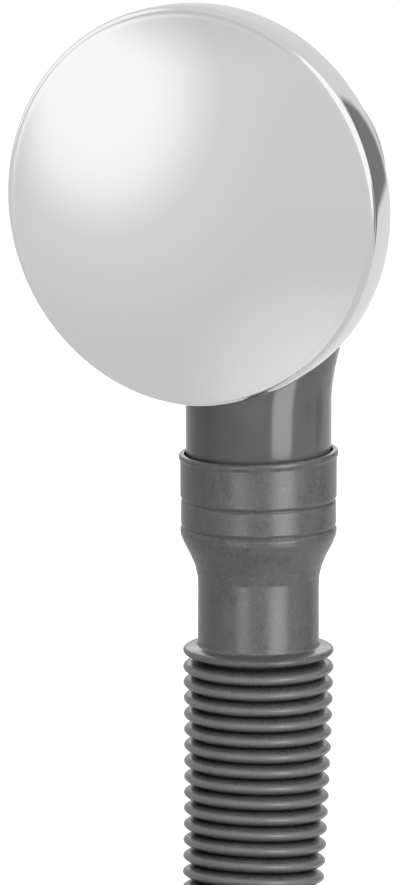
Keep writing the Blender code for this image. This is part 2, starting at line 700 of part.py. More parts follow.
def ribbed_length():
    straight, radius = hose_runs()
    return UPPER_BEND_RADIUS * HOSE_LEAN + straight + radius * (math.pi / 2 - HOSE_LEAN)


def hose_tube():
    """The ribbed stretch, where each rib is two points of unlike radius."""
    length = ribbed_length()
    ribs = max(1, round(length / RIB_PITCH))
    pitch = (length - 2 * GAP) / ribs
    into_collar = COLLAR_END - COLLAR_PEAK
    valley = RIB_RADIUS - RIB_DEPTH
    points = [hose_point(-into_collar)]
    radii = [valley - RIB_DEPTH / 2]
    for i in range(ribs):
        crest = RIB_RADIUS - RIB_FALL * min(1, i / RIB_FALL_COUNT)
        points += [hose_point(GAP + i * pitch), hose_point(GAP + (i + 0.5) * pitch)]
        radii += [crest - RIB_DEPTH, crest]
    points += [hose_point(length - GAP), hose_point(length + into_collar)]
    radii += [valley - RIB_FALL, valley - RIB_DEPTH / 2]
    return curve_tube("hose_ribs", points, radii)


def hose_bore():
    length = ribbed_length() + COLLAR_END
    count = 14
    points = []
    for i in range(count + 1):
        points.append(hose_point(-COLLAR_END / 2 + length * i / count))
    return curve_tube("hose_bore", points, [HOSE_BORE] * (count + 1))


def lower_end():
    """Place and turn of the hose's lower lip, where its own -Z runs back along the hose."""
    return (0, -WASTE_REACH + INLET_LENGTH, INLET_Z), (math.radians(90), 0, 0)


def make_hose():
    top = (0, PIPE_SET_BACK, -HOSE_TOP)
    place, turn = lower_end()
    hose = hose_tube()
    hose.name = "overflow_hose"
    hose.data.materials.append(material("grey_plastic"))
    CUTTERS.objects.unlink(hose)
    PARTS.objects.link(hose)
    hose.hide_render = False
    hose.display_type = "TEXTURED"
    join(hose, cuff_solid("upper_cuff", top, (0, 0, 0)), cuff_solid("lower_cuff", place, turn))
    cut(hose, hose_bore(), cuff_bore("upper_cuff_bore", top, (0, 0, 0)))
    cut(hose, cuff_bore("lower_cuff_bore", place, turn))


def make_holder():
    """Ring and bar in the pipe that hold the cable's upper ferrule."""
    place = (0, PIPE_SET_BACK, 0)
    outer = SPIGOT_LEDGE_BORE - GAP
    top = -HOLDER_TOP
    end = top - HOLDER_THICKNESS
    holder = tube("cable_holder", outer, outer - HOLDER_RING, top, end, MEDIUM_STEPS, "white_plastic", place)
    reach = outer - HOLDER_RING / 2
    half = HOLDER_BAR / 2
    join(holder, box("holder_bar", (-reach, -half, end), (reach, half, top), place=place))
    spot = (WHEEL_PITCH_RADIUS, PIPE_SET_BACK, 0)
    boss = HOLDER_BOSS_RADIUS
    join(holder, cylinder("holder_boss", boss, top, end, SMALL_STEPS, place=spot))
    hole = FERRULE_RADIUS + GAP
    cut(holder, cylinder("holder_hole", hole, top + OVERRUN, end - OVERRUN, SMALL_STEPS, place=spot))


def make_upper_cable():
    """The core's upper end and the ferrule that it slides in."""
    spot = (WHEEL_PITCH_RADIUS, PIPE_SET_BACK, 0)
    nipple_end = CORE_TOP - CORE_NIPPLE_LENGTH
    profile = [(0, CORE_TOP), (CORE_NIPPLE_RADIUS, CORE_TOP), (CORE_NIPPLE_RADIUS, nipple_end)]
    profile += [(CORE_RADIUS, nipple_end), (CORE_RADIUS, -CORE_BOTTOM), (0, -CORE_BOTTOM)]
    turned("cable_core", profile, SMALL_STEPS // 2, "steel", spot)
    floor = -FERRULE_END + FERRULE_FLOOR
    collar_end = -HOLDER_TOP + GAP
    collar_top = collar_end + FERRULE_COLLAR
    profile = [(0, floor), (FERRULE_BORE, floor), (FERRULE_BORE, -FERRULE_TOP)]
    profile += [(FERRULE_RADIUS, -FERRULE_TOP), (FERRULE_RADIUS, collar_top)]
    profile += [(FERRULE_COLLAR_RADIUS, collar_top), (FERRULE_COLLAR_RADIUS, collar_end)]
    profile += [(FERRULE_RADIUS, collar_end), (FERRULE_RADIUS, -FERRULE_END), (0, -FERRULE_END)]
    turned("cable_ferrule", profile, SMALL_STEPS, "brass", spot)


def sheath_route():
    """Points of the cable's sheath: straight out of both ends, and the hose's middle between."""
    start = -FERRULE_END - GAP
    end = -WASTE_REACH + GUIDE_START + GAP
    offset = WHEEL_PITCH_RADIUS
    length = ribbed_length()
    shares = (0.25, 0.45, 0.60, 0.75, 0.90, 1)
    route = [
        (offset, PIPE_SET_BACK, start),
        (offset, PIPE_SET_BACK, start - 2 * offset),
        (offset / 2, PIPE_SET_BACK, -HOSE_TOP - COLLAR_END),
    ]
    route += [hose_point(share * length) for share in shares]
    return route + [(0, end + 2 * offset, INLET_Z), (0, end, INLET_Z)]


def smooth_route(points, spacing):
    """Points on the smooth curve through the route's own points."""
    smooth = []
    ends = [points[0]] + list(points) + [points[-1]]
    for i in range(len(points) - 1):
        before, start, end, after = (Vector(p) for p in ends[i : i + 4])
        count = max(1, round((end - start).length / spacing))
        for step in range(count):
            t = step / count
            along = 2 * start + (end - before) * t
            bend = (2 * before - 5 * start + 4 * end - after) * t**2
            twist = (3 * start - before - 3 * end + after) * t**3
            smooth.append((along + bend + twist) / 2)
    return smooth + [Vector(points[-1])]


def make_sheath():
    points = smooth_route(sheath_route(), 2.5 * 2 * SHEATH_RADIUS)
    curve_tube("cable_sheath", points, [SHEATH_RADIUS] * len(points), "rubber")


def make_lower_guide():
    """Tube with fins that holds the pushing rod in the middle of the inlet."""
    axis = (0, -WASTE_REACH, INLET_Z)
    turn = (math.radians(-90), 0, 0)
    floor = GUIDE_START - GUIDE_FLOOR
    profile = [(0, GUIDE_START), (GUIDE_RADIUS, GUIDE_START), (GUIDE_RADIUS, GUIDE_END)]
    profile += [(GUIDE_BORE, GUIDE_END), (GUIDE_BORE, floor), (0, floor)]
    guide = turned("cable_guide", profile, SMALL_STEPS, "white_plastic", axis, turn)
    half = GUIDE_FIN_WIDTH / 2
    inner = (GUIDE_RADIUS + GUIDE_BORE) / 2
    for i in range(GUIDE_FINS):
        low = (inner, -half, GUIDE_FIN_END)
        high = (SPIGOT_BORE - GAP, half, GUIDE_FIN_START)
        fin = box(f"guide_fin_{i}", low, high, place=axis, turn=turn)
        fin.rotation_euler.rotate_axis("Z", 2 * math.pi * i / GUIDE_FINS)
        join(guide, fin)


def make_pusher():
    """Rod at the core's lower end, round at the tip that presses the rocker."""
    axis = (0, PUSHER_TIP_Y, INLET_Z)
    turn = (math.radians(-90), 0, 0)
    radius = PUSHER_RADIUS
    tip = arc((0, radius), radius, 0, -90, 4)
    tip[-1] = (0, 0)
    profile = [(0, PUSHER_LENGTH), (radius, PUSHER_LENGTH)] + tip
    turned("cable_pusher", profile, SMALL_STEPS, "steel", axis, turn)


def rocker_outline():
    """Two arms at right angles on a round hub; the first runs forward and the second down."""
    tip, hub, arm = ROCKER_TIP_RADIUS, ROCKER_HUB_RADIUS, ROCKER_ARM
    side = math.degrees(math.asin(tip / hub))
    points = arc((arm, 0), tip, -90, 90, 6)
    points += [(hub, tip), (tip, hub)]
    points += arc((0, arm), tip, 0, 180, 6)
    points += arc((0, 0), hub, 90 + side, 360 - side, 7)
    return points


def make_rocker():
    curve = bpy.data.curves.new("rocker", "CURVE")
    curve.dimensions = "2D"
    curve.fill_mode = "BOTH"
    curve.extrude = ROCKER_THICKNESS / 2
    bore = arc((0, 0), ROCKER_PIN_RADIUS + GAP, 0, 360, SMALL_STEPS)[:-1]
    for outline in (rocker_outline(), bore):
        spline = curve.splines.new("POLY")
        spline.points.add(len(outline) - 1)
        spline.use_cyclic_u = True
        for spot, (forward, down) in zip(spline.points, outline):
            spot.co = (forward, down, 0, 1)
    guide = add_object("rocker_outline", curve)
    bpy.context.view_layer.update()
    graph = bpy.context.evaluated_depsgraph_get()
    mesh = bpy.data.meshes.new_from_object(guide.evaluated_get(graph))
    bpy.data.objects.remove(guide, do_unlink=True)
    shape = bmesh.new()
    shape.from_mesh(mesh)
    bmesh.ops.remove_doubles(shape, verts=shape.verts, dist=WELD)
    bmesh.ops.recalc_face_normals(shape, faces=shape.faces)
    # The outline's first axis turns to the front and its second down.
    upright = Matrix(((0, 0, 1), (-1, 0, 0), (0, -1, 0))).to_4x4()
    bmesh.ops.transform(shape, matrix=upright, verts=shape.verts)
    shape.to_mesh(mesh)
    shape.free()
    pivot = (0, PIVOT_Y, PIVOT_Z)
    add_object("rocker", mesh, "white_plastic", pivot, (ROCKER_SWING / 2, 0, 0))
    across = (0, math.radians(90), 0)
    half = ROCKER_PIN_LENGTH / 2
    radius = ROCKER_PIN_RADIUS
    cylinder("rocker_pin", radius, half, -half, SMALL_STEPS, "steel", pivot, across)


def make_waste_body():
    """Bowl with a side inlet for the hose, a bottom outlet, and a spider that takes the bolt."""
    axis = (0, -WASTE_REACH, FLOOR_TOP)
    top = BODY_RIM_TOP - FLOOR_TOP
    rim = top - WASTE_RIM_THICKNESS
    outline = [(0, top), (WASTE_RIM_RADIUS, top), (WASTE_RIM_RADIUS, rim), (WASTE_RADIUS, rim)]
    outline += [(WASTE_RADIUS, -WASTE_BOWL_END), (OUTLET_RADIUS, -WASTE_CONE_END)]
    outline += [(OUTLET_RADIUS, -OUTLET_END), (0, -OUTLET_END)]
    body = turned("waste_body", outline, LARGE_STEPS, "grey_plastic", axis)
    join(body, inlet_spigot())
    inner = WASTE_RADIUS - WASTE_WALL
    hollow = [(0, top + OVERRUN), (inner, top + OVERRUN), (inner, -WASTE_BOWL_END + WASTE_WALL)]
    hollow += [(OUTLET_BORE, -WASTE_CONE_END + WASTE_WALL), (OUTLET_BORE, -OUTLET_END - OVERRUN)]
    cut(body, turned("waste_hollow", hollow + [(0, -OUTLET_END - OVERRUN)], MEDIUM_STEPS, place=axis))
    join(body, make_spider(axis, inner))
    place, turn = lower_end()
    high = INLET_LENGTH - 0.8 * inner
    low = -SPIGOT_ENTRY - OVERRUN
    cut(body, cylinder("inlet_bore", SPIGOT_BORE, high, low, MEDIUM_STEPS, place=place, turn=turn))


def inlet_spigot():
    """Pipe on the bowl's rear side that enters the hose's lower cuff."""
    place, turn = lower_end()
    root = INLET_LENGTH - WASTE_RADIUS / 2
    flare = SPIGOT_RADIUS + WASTE_WALL
    profile = [(0, root), (flare, root), (flare, INLET_LENGTH - WASTE_RADIUS)]
    profile += [(SPIGOT_RADIUS, INLET_LENGTH - WASTE_RADIUS - WASTE_WALL)] + spigot_end(0)
    return turned("inlet_spigot", profile, MEDIUM_STEPS, place=place, turn=turn)


def make_spider(axis, inner):
    """Arms, a hub that takes the bolt, and the two lugs that carry the rocker's pin."""
    top = -SPIDER_TOP
    end = top - SPIDER_THICKNESS
    reach = inner + WASTE_WALL / 2
    half = CROSS_WIDTH / 2
    lug_outside = LUG_INSIDE + LUG_THICKNESS
    lug_end = PIVOT_Z - FLOOR_TOP - LUG_REACH
    spider = box("spider_bridge", (-lug_outside, 0, end), (lug_outside, reach, top), place=axis)
    join(spider, box("spider_arm_front", (-half, -reach, end), (half, half, top), place=axis))
    join(spider, box("spider_arms_x", (-reach, -half, end), (reach, half, top), place=axis))
    join(spider, cylinder("spider_hub", SPIDER_HUB_RADIUS, top + GAP, end - GAP, SMALL_STEPS, place=axis))
    for side, name in ((-1, "spider_lug_left"), (1, "spider_lug_right")):
        low = min(side * LUG_INSIDE, side * (lug_outside + GAP))
        high = max(side * LUG_INSIDE, side * (lug_outside + GAP))
        first = (low, ROCKER_ARM - LUG_REACH, lug_end)
        last = (high, ROCKER_ARM + LUG_REACH, top - SPIDER_THICKNESS / 2)
        join(spider, box(name, first, last, place=axis))
    hole = BOLT_RADIUS + GAP
    far = end - GAP - OVERRUN
    cut(spider, cylinder("bolt_hole", hole, top + GAP + OVERRUN, far, SMALL_STEPS, place=axis))
    across = (0, math.radians(90), 0)
    bore = ROCKER_PIN_RADIUS + GAP / 3
    pivot = (0, PIVOT_Y, PIVOT_Z)
    reach = ROCKER_PIN_LENGTH
    cut(spider, cylinder("pin_hole", bore, reach, -reach, SMALL_STEPS, place=pivot, turn=across))
    spider.modifiers["pin_hole"].solver = "MANIFOLD"
    return spider


def make_waste_gaskets():
    axis = (0, -WASTE_REACH, FLOOR_TOP)
    under = -SHEET
    end = under - LOWER_GASKET_THICKNESS
    outer = LOWER_GASKET_RADIUS
    tube("lower_gasket", outer, LOWER_GASKET_HOLE, under, end, MEDIUM_STEPS, "rubber", axis)
    top = UPPER_GASKET_THICKNESS
    hole = THROAT_RADIUS + GAP
    outer = FLANGE_RADIUS - 2 * GAP
    tube("upper_gasket", outer, hole, top, 0, MEDIUM_STEPS, "rubber", axis)


def make_flange():
    """Bright flange in the sink, with a throat and a cross that the bolt clamps."""
    axis = (0, -WASTE_REACH, FLOOR_TOP)
    top = FLANGE_TOP - FLOOR_TOP
    under = FLANGE_UNDER - FLOOR_TOP
    end = top - THROAT_DEPTH
    inner = THROAT_RADIUS - THROAT_WALL
    lead = THROAT_LEAD_IN
    edge = FLANGE_THICKNESS / 2
    profile = [
        (inner, top - lead),
        (inner + lead, top),
        (FLANGE_RADIUS - edge, top),
        (FLANGE_RADIUS, top - edge),
        (FLANGE_RADIUS, under),
        (THROAT_RADIUS, under),
        (THROAT_RADIUS, end),
        (inner, end),
    ]
    flange = turned("waste_flange", profile, LARGE_STEPS, "chrome", axis, ring=True)
    half = CROSS_WIDTH / 2
    reach = inner + THROAT_WALL / 2
    cross = end + CROSS_THICKNESS
    join(flange, box("cross_x", (-reach, -half, end), (reach, half, cross), place=axis))
    join(flange, box("cross_y", (-half, -reach, end), (half, reach, cross), place=axis))
    join(flange, cylinder("cross_hub", CROSS_HUB_RADIUS, cross, end, SMALL_STEPS, place=axis))
    hole = BOLT_RADIUS + GAP
    cut(flange, cylinder("cross_hole", hole, cross + OVERRUN, end - OVERRUN, SMALL_STEPS, place=axis))


def make_bolt():
    """Hollow bolt that clamps the flange to the body and guides the plug's stem."""
    axis = (0, -WASTE_REACH, FLANGE_TOP - THROAT_DEPTH + CROSS_THICKNESS + GAP)
    wide, step = BOLT_FOOT_BORE, -BOLT_STEP
    edge = BOLT_HEAD / 4
    profile = [
        (BOLT_STEM_BORE, BOLT_HEAD),
        (BOLT_HEAD_RADIUS - edge, BOLT_HEAD),
        (BOLT_HEAD_RADIUS, BOLT_HEAD - edge),
        (BOLT_HEAD_RADIUS, 0),
        (BOLT_RADIUS, 0),
        (BOLT_RADIUS, -BOLT_LENGTH),
        (wide, -BOLT_LENGTH),
        (wide, step),
        (BOLT_STEM_BORE, step),
    ]
    turned("hollow_bolt", profile, SMALL_STEPS, "brass", axis, ring=True)


def make_plug():
    axis = (0, -WASTE_REACH, PLUG_UNDER)
    edge = PLUG_THICKNESS / 2
    crown = dome(PLUG_RADIUS - edge, PLUG_THICKNESS, PLUG_DOME, 6)
    hub_end = -PLUG_HUB
    hole = STEM_RADIUS + GAP
    profile = crown + [(PLUG_RADIUS, edge), (PLUG_RADIUS - edge, 0), (PLUG_HUB_RADIUS, 0)]
    profile += [(PLUG_HUB_RADIUS, hub_end), (hole, hub_end), (hole, STEM_HOLE_DEPTH), (0, STEM_HOLE_DEPTH)]
    turned("plug_cap", profile, LARGE_STEPS, "chrome", axis)
    seal_top = hub_end - GAP
    seal_end = seal_top - PLUG_SEAL_THICKNESS
    radius = THROAT_RADIUS - THROAT_WALL - GAP
    tube("plug_seal", radius, PLUG_SEAL_HOLE, seal_top, seal_end, MEDIUM_STEPS, "rubber", axis)
    disc_top = seal_end - GAP
    disc_end = disc_top - RETAINER_THICKNESS
    collar = PLUG_SEAL_HOLE - GAP
    profile = [(hole, seal_top - GAP), (collar, seal_top - GAP), (collar, disc_top)]
    profile += [(RETAINER_RADIUS, disc_top), (RETAINER_RADIUS, disc_end), (hole, disc_end)]
    turned("plug_retainer", profile, MEDIUM_STEPS, "white_plastic", axis, ring=True)


def make_stem():
    """Stem, lock nut and the foot that the rocker lifts."""
    axis = (0, -WASTE_REACH, FLOOR_TOP)
    top = PLUG_UNDER + STEM_HOLE_DEPTH - GAP - FLOOR_TOP
    foot_top = -FOOT_DROP + FOOT_HEIGHT
    nut_end = foot_top + GAP
    thread_end = foot_top - FOOT_HEIGHT / 2
    cylinder("plug_stem", STEM_RADIUS, top, thread_end + GAP, SMALL_STEPS, "brass", axis)
    nut = STEM_RADIUS + GAP / 2
    nut_top = nut_end + NUT_HEIGHT
    tube("stem_nut", NUT_RADIUS, nut, nut_top, nut_end, SMALL_STEPS, "brass", axis)
    tip = arc((0, -FOOT_DROP + FOOT_RADIUS), FOOT_RADIUS, 0, -90, 5)
    tip[-1] = (0, -FOOT_DROP)
    profile = [(0, thread_end), (nut, thread_end), (nut, foot_top), (FOOT_RADIUS, foot_top)]
    turned("stem_foot", profile + tip, SMALL_STEPS, "white_plastic", axis)


def main():
    make_knob()
    make_carrier()
    make_spindle()
    make_knob_screw()
    make_clip()
    make_cable_wheel()
    make_bush()
    make_wall_gaskets()
    make_overflow_body()
    make_seal("upper_seal", (0, PIPE_SET_BACK, 0), -HOSE_TOP - SEAL_DEPTH, (0, 0, 0))
    place, turn = lower_end()
    make_seal("lower_seal", place, -SEAL_DEPTH, turn)
    make_hose()
    make_holder()
    make_upper_cable()
    make_sheath()
    make_lower_guide()
    make_pusher()
    make_rocker()
    make_waste_body()
    make_waste_gaskets()
    make_flange()
    make_bolt()
    make_plug()
    make_stem()


clear_scene()
PARTS = new_collection("pop_up_drain")
CUTTERS = new_collection("cutters")
main()
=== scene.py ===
# Pop-up sink drain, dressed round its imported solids.
# Metres, the knob faces -Y and +Z is up. Sizes in the pieces' dictionaries are millimetres, and
# those of the studio are metres.
import json
import math

import bmesh
import bpy
import numpy as np
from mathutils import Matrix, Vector

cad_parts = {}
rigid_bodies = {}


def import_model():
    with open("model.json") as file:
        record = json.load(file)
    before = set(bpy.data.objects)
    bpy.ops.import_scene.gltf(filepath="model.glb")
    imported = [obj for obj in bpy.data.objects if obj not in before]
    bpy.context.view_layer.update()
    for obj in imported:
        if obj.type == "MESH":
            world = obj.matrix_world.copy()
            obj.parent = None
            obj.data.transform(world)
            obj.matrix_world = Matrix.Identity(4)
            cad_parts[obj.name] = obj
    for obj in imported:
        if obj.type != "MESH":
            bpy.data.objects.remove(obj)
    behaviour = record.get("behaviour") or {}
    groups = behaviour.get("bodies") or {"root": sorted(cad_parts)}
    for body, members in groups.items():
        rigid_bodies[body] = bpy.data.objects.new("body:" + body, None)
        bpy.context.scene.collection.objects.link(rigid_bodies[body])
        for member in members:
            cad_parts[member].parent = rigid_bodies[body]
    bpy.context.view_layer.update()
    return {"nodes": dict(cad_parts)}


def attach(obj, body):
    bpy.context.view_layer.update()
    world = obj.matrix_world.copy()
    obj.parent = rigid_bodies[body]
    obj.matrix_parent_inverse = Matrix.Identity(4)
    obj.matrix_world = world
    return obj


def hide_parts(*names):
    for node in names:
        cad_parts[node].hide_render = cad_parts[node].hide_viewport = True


for leftover in list(bpy.data.objects):
    bpy.data.objects.remove(leftover, do_unlink=True)
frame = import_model()
mm = 0.001


# Shapes as grids of points

def anglesRound(columns):
    # Evenly spaced angles, once round
    return np.linspace(0, 2 * math.pi, columns, endpoint=False)


def turnedGrid(profile, columns, axis, centre=(0, 0, 0)):
    # Point = centre + radius * (cos a, sin a) across the axis + height along it, a once round;
    # the axis runs up or, like the knob's own, to the front
    profile = np.asarray(profile, float)
    angle = anglesRound(columns)
    radius, height = profile[:, :1], profile[:, 1:2]
    across, other = radius * np.cos(angle), radius * np.sin(angle)
    along = np.broadcast_to(height, across.shape)
    order = [across, -along, other] if axis == "front" else [across, other, along]
    return (np.stack(order, -1) + np.array(centre)) * mm


def roundedProfile(corners, steps):
    # Corner (radius, height, fillet) becomes an arc tangent to its two edges
    corners = [tuple(c) + (0,) * (3 - len(c)) for c in corners]
    found = []
    for i, (x, y, fillet) in enumerate(corners):
        spot = np.array([x, y], float)
        if not fillet or i in (0, len(corners) - 1):
            found.append(spot[None])
            continue
        before = np.array(corners[i - 1][:2]) - spot
        after = np.array(corners[i + 1][:2]) - spot
        before, after = before / np.linalg.norm(before), after / np.linalg.norm(after)
        half = math.acos(np.clip(before @ after, -1, 1)) / 2
        reach = fillet / math.tan(half)
        middle = spot + (before + after) / np.linalg.norm(before + after) * fillet / math.sin(half)
        start, end = spot + before * reach - middle, spot + after * reach - middle
        share = np.linspace(0, 1, steps + 1)[:, None]
        swing = math.acos(np.clip(start @ end / fillet**2, -1, 1))
        arc = start * np.sin((1 - share) * swing) + end * np.sin(share * swing)
        found.append(middle + arc / math.sin(swing))
    return np.concatenate(found)


def ringProfile(corners, steps):
    # The same for an outline that closes on itself: its first corner is rounded too
    first, last = corners[0], corners[-1]
    start = ((first[0] + last[0]) / 2, (first[1] + last[1]) / 2)
    return roundedProfile([start, *corners], steps)


def capSphere(rim, rise):
    # Radius of the sphere whose cap stands that much above its rim
    return (rim**2 + rise**2) / (2 * rise)


def capProfile(out, base, rise, sphere):
    # Height = base + rise - sphere + sqrt(sphere^2 - radius^2)
    return np.stack([out, base + rise - sphere + np.sqrt(sphere**2 - out**2)], -1)


barColumns = 24  # points round a bar


def barGrid(start, end, width, height, corner):
    # A rounded rectangle, x and z = half size +- corner arcs, carried straight from start to end
    start, end = np.array(start, float), np.array(end, float)
    along = (end - start) / np.linalg.norm(end - start)
    up = np.array([0, 0, 1.0])
    if abs(along @ up) > 0.9:
        up = np.array([0, 1.0, 0])
    side = np.cross(along, up)
    angle = anglesRound(barColumns)
    pushX = np.sign(np.cos(angle)) * (width / 2 - corner) + corner * np.cos(angle)
    pushZ = np.sign(np.sin(angle)) * (height / 2 - corner) + corner * np.sin(angle)
    ring = pushX[:, None] * side + pushZ[:, None] * up
    inset = ring * (1 - corner / max(width, height))
    spots = [start + 0 * ring, start + inset, start + along * corner + ring]
    spots += [end - along * corner + ring, end + inset, end + 0 * ring]
    return np.stack(spots) * mm


def crossArms(centre, inner, outer):
    # Starts and ends of four level arms, left, right, front and back, between two radii about a centre
    arms = []
    for across in (np.array([1.0, 0, 0]), np.array([0, 1.0, 0])):
        arms.append((centre - across * outer, centre - across * inner))
        arms.append((centre + across * inner, centre + across * outer))
    return arms


def gridFaces(rows, columns, closeRows):
    # Each face joins a point with the next one round and the next one along
    row = np.arange(rows if closeRows else rows - 1)
    a, b = np.meshgrid(row, np.arange(columns), indexing="ij")
    c, d = (a + 1) % rows, (b + 1) % columns
    corners = [a * columns + b, a * columns + d, c * columns + d, c * columns + b]
    return np.stack(corners, -1).reshape(-1, 4)


def gridPiece(name, grids, body, material, node, sharp):
    # grids holds (points, closeRows) pairs; together they make one piece that rides on a body
    points, faces, count = [], [], 0
    for grid, closeRows in grids:
        rows, columns = grid.shape[:2]
        faces.append(gridFaces(rows, columns, closeRows) + count)
        points.append(grid.reshape(-1, 3))
        count += rows * columns
    mesh = bpy.data.meshes.new(name)
    mesh.from_pydata(np.concatenate(points).tolist(), [], np.concatenate(faces).tolist())
    return settle(name, mesh, body, material, node, sharp)


# Points nearer than the first become one, and edges shorter than the second go
mergeSizes = dict(doubles=0.002, shortEdges=0.001)


def settle(name, mesh, body, material, node, sharp):
    # Doubles merge at poles and seams, normals turn out, edges past the sharp angle stay crisp
    work = bmesh.new()
    work.from_mesh(mesh)
    bmesh.ops.remove_doubles(work, verts=work.verts, dist=mergeSizes["doubles"] * mm)
    bmesh.ops.dissolve_degenerate(work, edges=work.edges, dist=mergeSizes["shortEdges"] * mm)
    bmesh.ops.recalc_face_normals(work, faces=work.faces)
    work.to_mesh(mesh)
    work.free()
    mesh.shade_smooth()
    mesh.set_sharp_from_angle(angle=math.radians(sharp))
    mesh.materials.clear()
    mesh.materials.append(material)
    piece = bpy.data.objects.new(name, mesh)
    bpy.context.scene.collection.objects.link(piece)
    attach(piece, body)
    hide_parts(node)
    return piece


# Angles in degrees: a copied solid is smooth up to the first and bevelled from the second
copySizes = dict(sharp=30, bevelAngle=40, segments=2)


def smoothCopy(node, body, material, bevel=0.12):
    # A merged copy of the solid, smooth on its round sides, with a narrow bevel on its edges
    mesh = frame["nodes"][node].data.copy()
    name = node.replace("_", "-") + "-fine"
    piece = settle(name, mesh, body, material, node, copySizes["sharp"])
    edge = piece.modifiers.new("edge", "BEVEL")
    edge.width = bevel * mm
    edge.segments = copySizes["segments"]
    edge.limit_method = "ANGLE"
    edge.angle_limit = math.radians(copySizes["bevelAngle"])
    edge.harden_normals = False
    return piece


# Finishes: a colour Mix node has its colours at inputs 6 and 7 and gives the mixed one at output 2

def hexLinear(text):
    # sRGB hex to linear light: the usual two-part curve for each channel
    channels = [int(text[i:i + 2], 16) / 255 for i in (1, 3, 5)]
    return (*[c / 12.92 if c <= 0.04045 else ((c + 0.055) / 1.055) ** 2.4 for c in channels], 1)


def perMillimetre(size):
    # A noise texture's scale for features of that many millimetres
    return 1 / (size * mm)


def feed(tree, node, inputs):
    # An input is a plain value or another node's output
    for key, value in inputs.items():
        if isinstance(value, bpy.types.NodeSocket):
            tree.links.new(value, node.inputs[key])
        else:
            node.inputs[key].default_value = value


def addNode(tree, kind, inputs=None, **settings):
    # A new node with its inputs fed and its settings made
    node = tree.nodes.new("ShaderNode" + kind)
    for key, value in settings.items():
        setattr(node, key, value)
    feed(tree, node, inputs or {})
    return node


def startMaterial(name, base, roughness, metallic=0, ior=None):
    # A material with plain values, its tree, its shader, and the place on the part that patterns go by
    material = bpy.data.materials.new(name)
    material.use_nodes = True
    tree = material.node_tree
    shader = tree.nodes["Principled BSDF"]
    feed(tree, shader, {"Base Color": hexLinear(base), "Roughness": roughness, "Metallic": metallic})
    if ior:
        shader.inputs["IOR"].default_value = ior
    place = addNode(tree, "TexCoord").outputs["Object"]
    return material, tree, shader, place


# Most of a noise texture's values lie between these
noiseRange = {"From Min": 0.3, "From Max": 0.7}

chromeLook = {
    "wipe": {"Scale": perMillimetre(14), "Detail": 3, "Distortion": 0.6},
    "peel": {"Scale": perMillimetre(2.4), "Detail": 1},
    "gloss": {**noiseRange, "To Min": 0.05, "To Max": 0.09},
    "bump": {"Strength": 0.35, "Distance": 0.002 * mm},
}


def chromePlate(look=chromeLook):
    # Chromium plate over moulded ABS, buffed: mirror-like with a faint softness, wipe marks show in it
    material, tree, shader, place = startMaterial("chromePlate", "#E4E4E4", 0.07, metallic=1)
    wipe = addNode(tree, "TexNoise", {"Vector": place, **look["wipe"]})
    peel = addNode(tree, "TexNoise", {"Vector": place, **look["peel"]})
    gloss = addNode(tree, "MapRange", {"Value": wipe.outputs["Fac"], **look["gloss"]})
    bump = addNode(tree, "Bump", {"Height": peel.outputs["Fac"], **look["bump"]})
    feed(tree, shader, {"Roughness": gloss.outputs["Result"], "Normal": bump.outputs["Normal"]})
    return material


satinLook = {
    "cloud": {"Scale": perMillimetre(9), "Detail": 3},
    "grain": {"Scale": perMillimetre(0.35), "Detail": 2},
    "colours": {6: hexLinear("#5B5B5B"), 7: hexLinear("#646464")},
    "gloss": {**noiseRange, "To Min": 0.14, "To Max": 0.19},
    "bump": {"Strength": 0.3, "Distance": 0.003 * mm},
}


def mouldedPolypropylene(look=satinLook):
    # Injection-moulded polypropylene, mid grey: even satin skin from a fine-sparked mould
    material, tree, shader, place = startMaterial("mouldedPolypropylene", "#5F5F5F", 0.16, ior=1.49)
    cloud = addNode(tree, "TexNoise", {"Vector": place, **look["cloud"]})
    grain = addNode(tree, "TexNoise", {"Vector": place, **look["grain"]})
    colour = addNode(tree, "Mix", {0: cloud.outputs["Fac"], **look["colours"]}, data_type="RGBA")
    gloss = addNode(tree, "MapRange", {"Value": cloud.outputs["Fac"], **look["gloss"]})
    bump = addNode(tree, "Bump", {"Height": grain.outputs["Fac"], **look["bump"]})
    feed(tree, shader, {"Base Color": colour.outputs[2], "Roughness": gloss.outputs["Result"],
                        "Normal": bump.outputs["Normal"]})
    return material


# The last two ranges read the groove attribute, below 0 on a rib's crest and 1 at a groove's bottom: the
# first paints a highlight on the crests, the second paints shade in the grooves
hoseLook = {
    "cloud": {"Scale": perMillimetre(3.2), "Detail": 5, "Roughness": 0.65},
    "speck": {"Scale": perMillimetre(0.5), "Detail": 3},
    "colours": {6: hexLinear("#555555"), 7: hexLinear("#646464")},
    "flow": {**noiseRange, "To Min": 0, "To Max": 1},
    "gloss": {**noiseRange, "To Min": 0.24, "To Max": 0.36},
    "bump": {"Strength": 0.35, "Distance": 0.03 * mm},
    "talc": {"From Min": 0.54, "From Max": 0.72, "To Min": 0, "To Max": 0.3},
    "paintedCrestHighlight": {"From Min": -0.3, "From Max": -0.02, "To Min": 1, "To Max": 0},
    "paintedGrooveShade": {"From Min": 0.05, "From Max": 0.75, "To Min": 0, "To Max": 0.85},
}


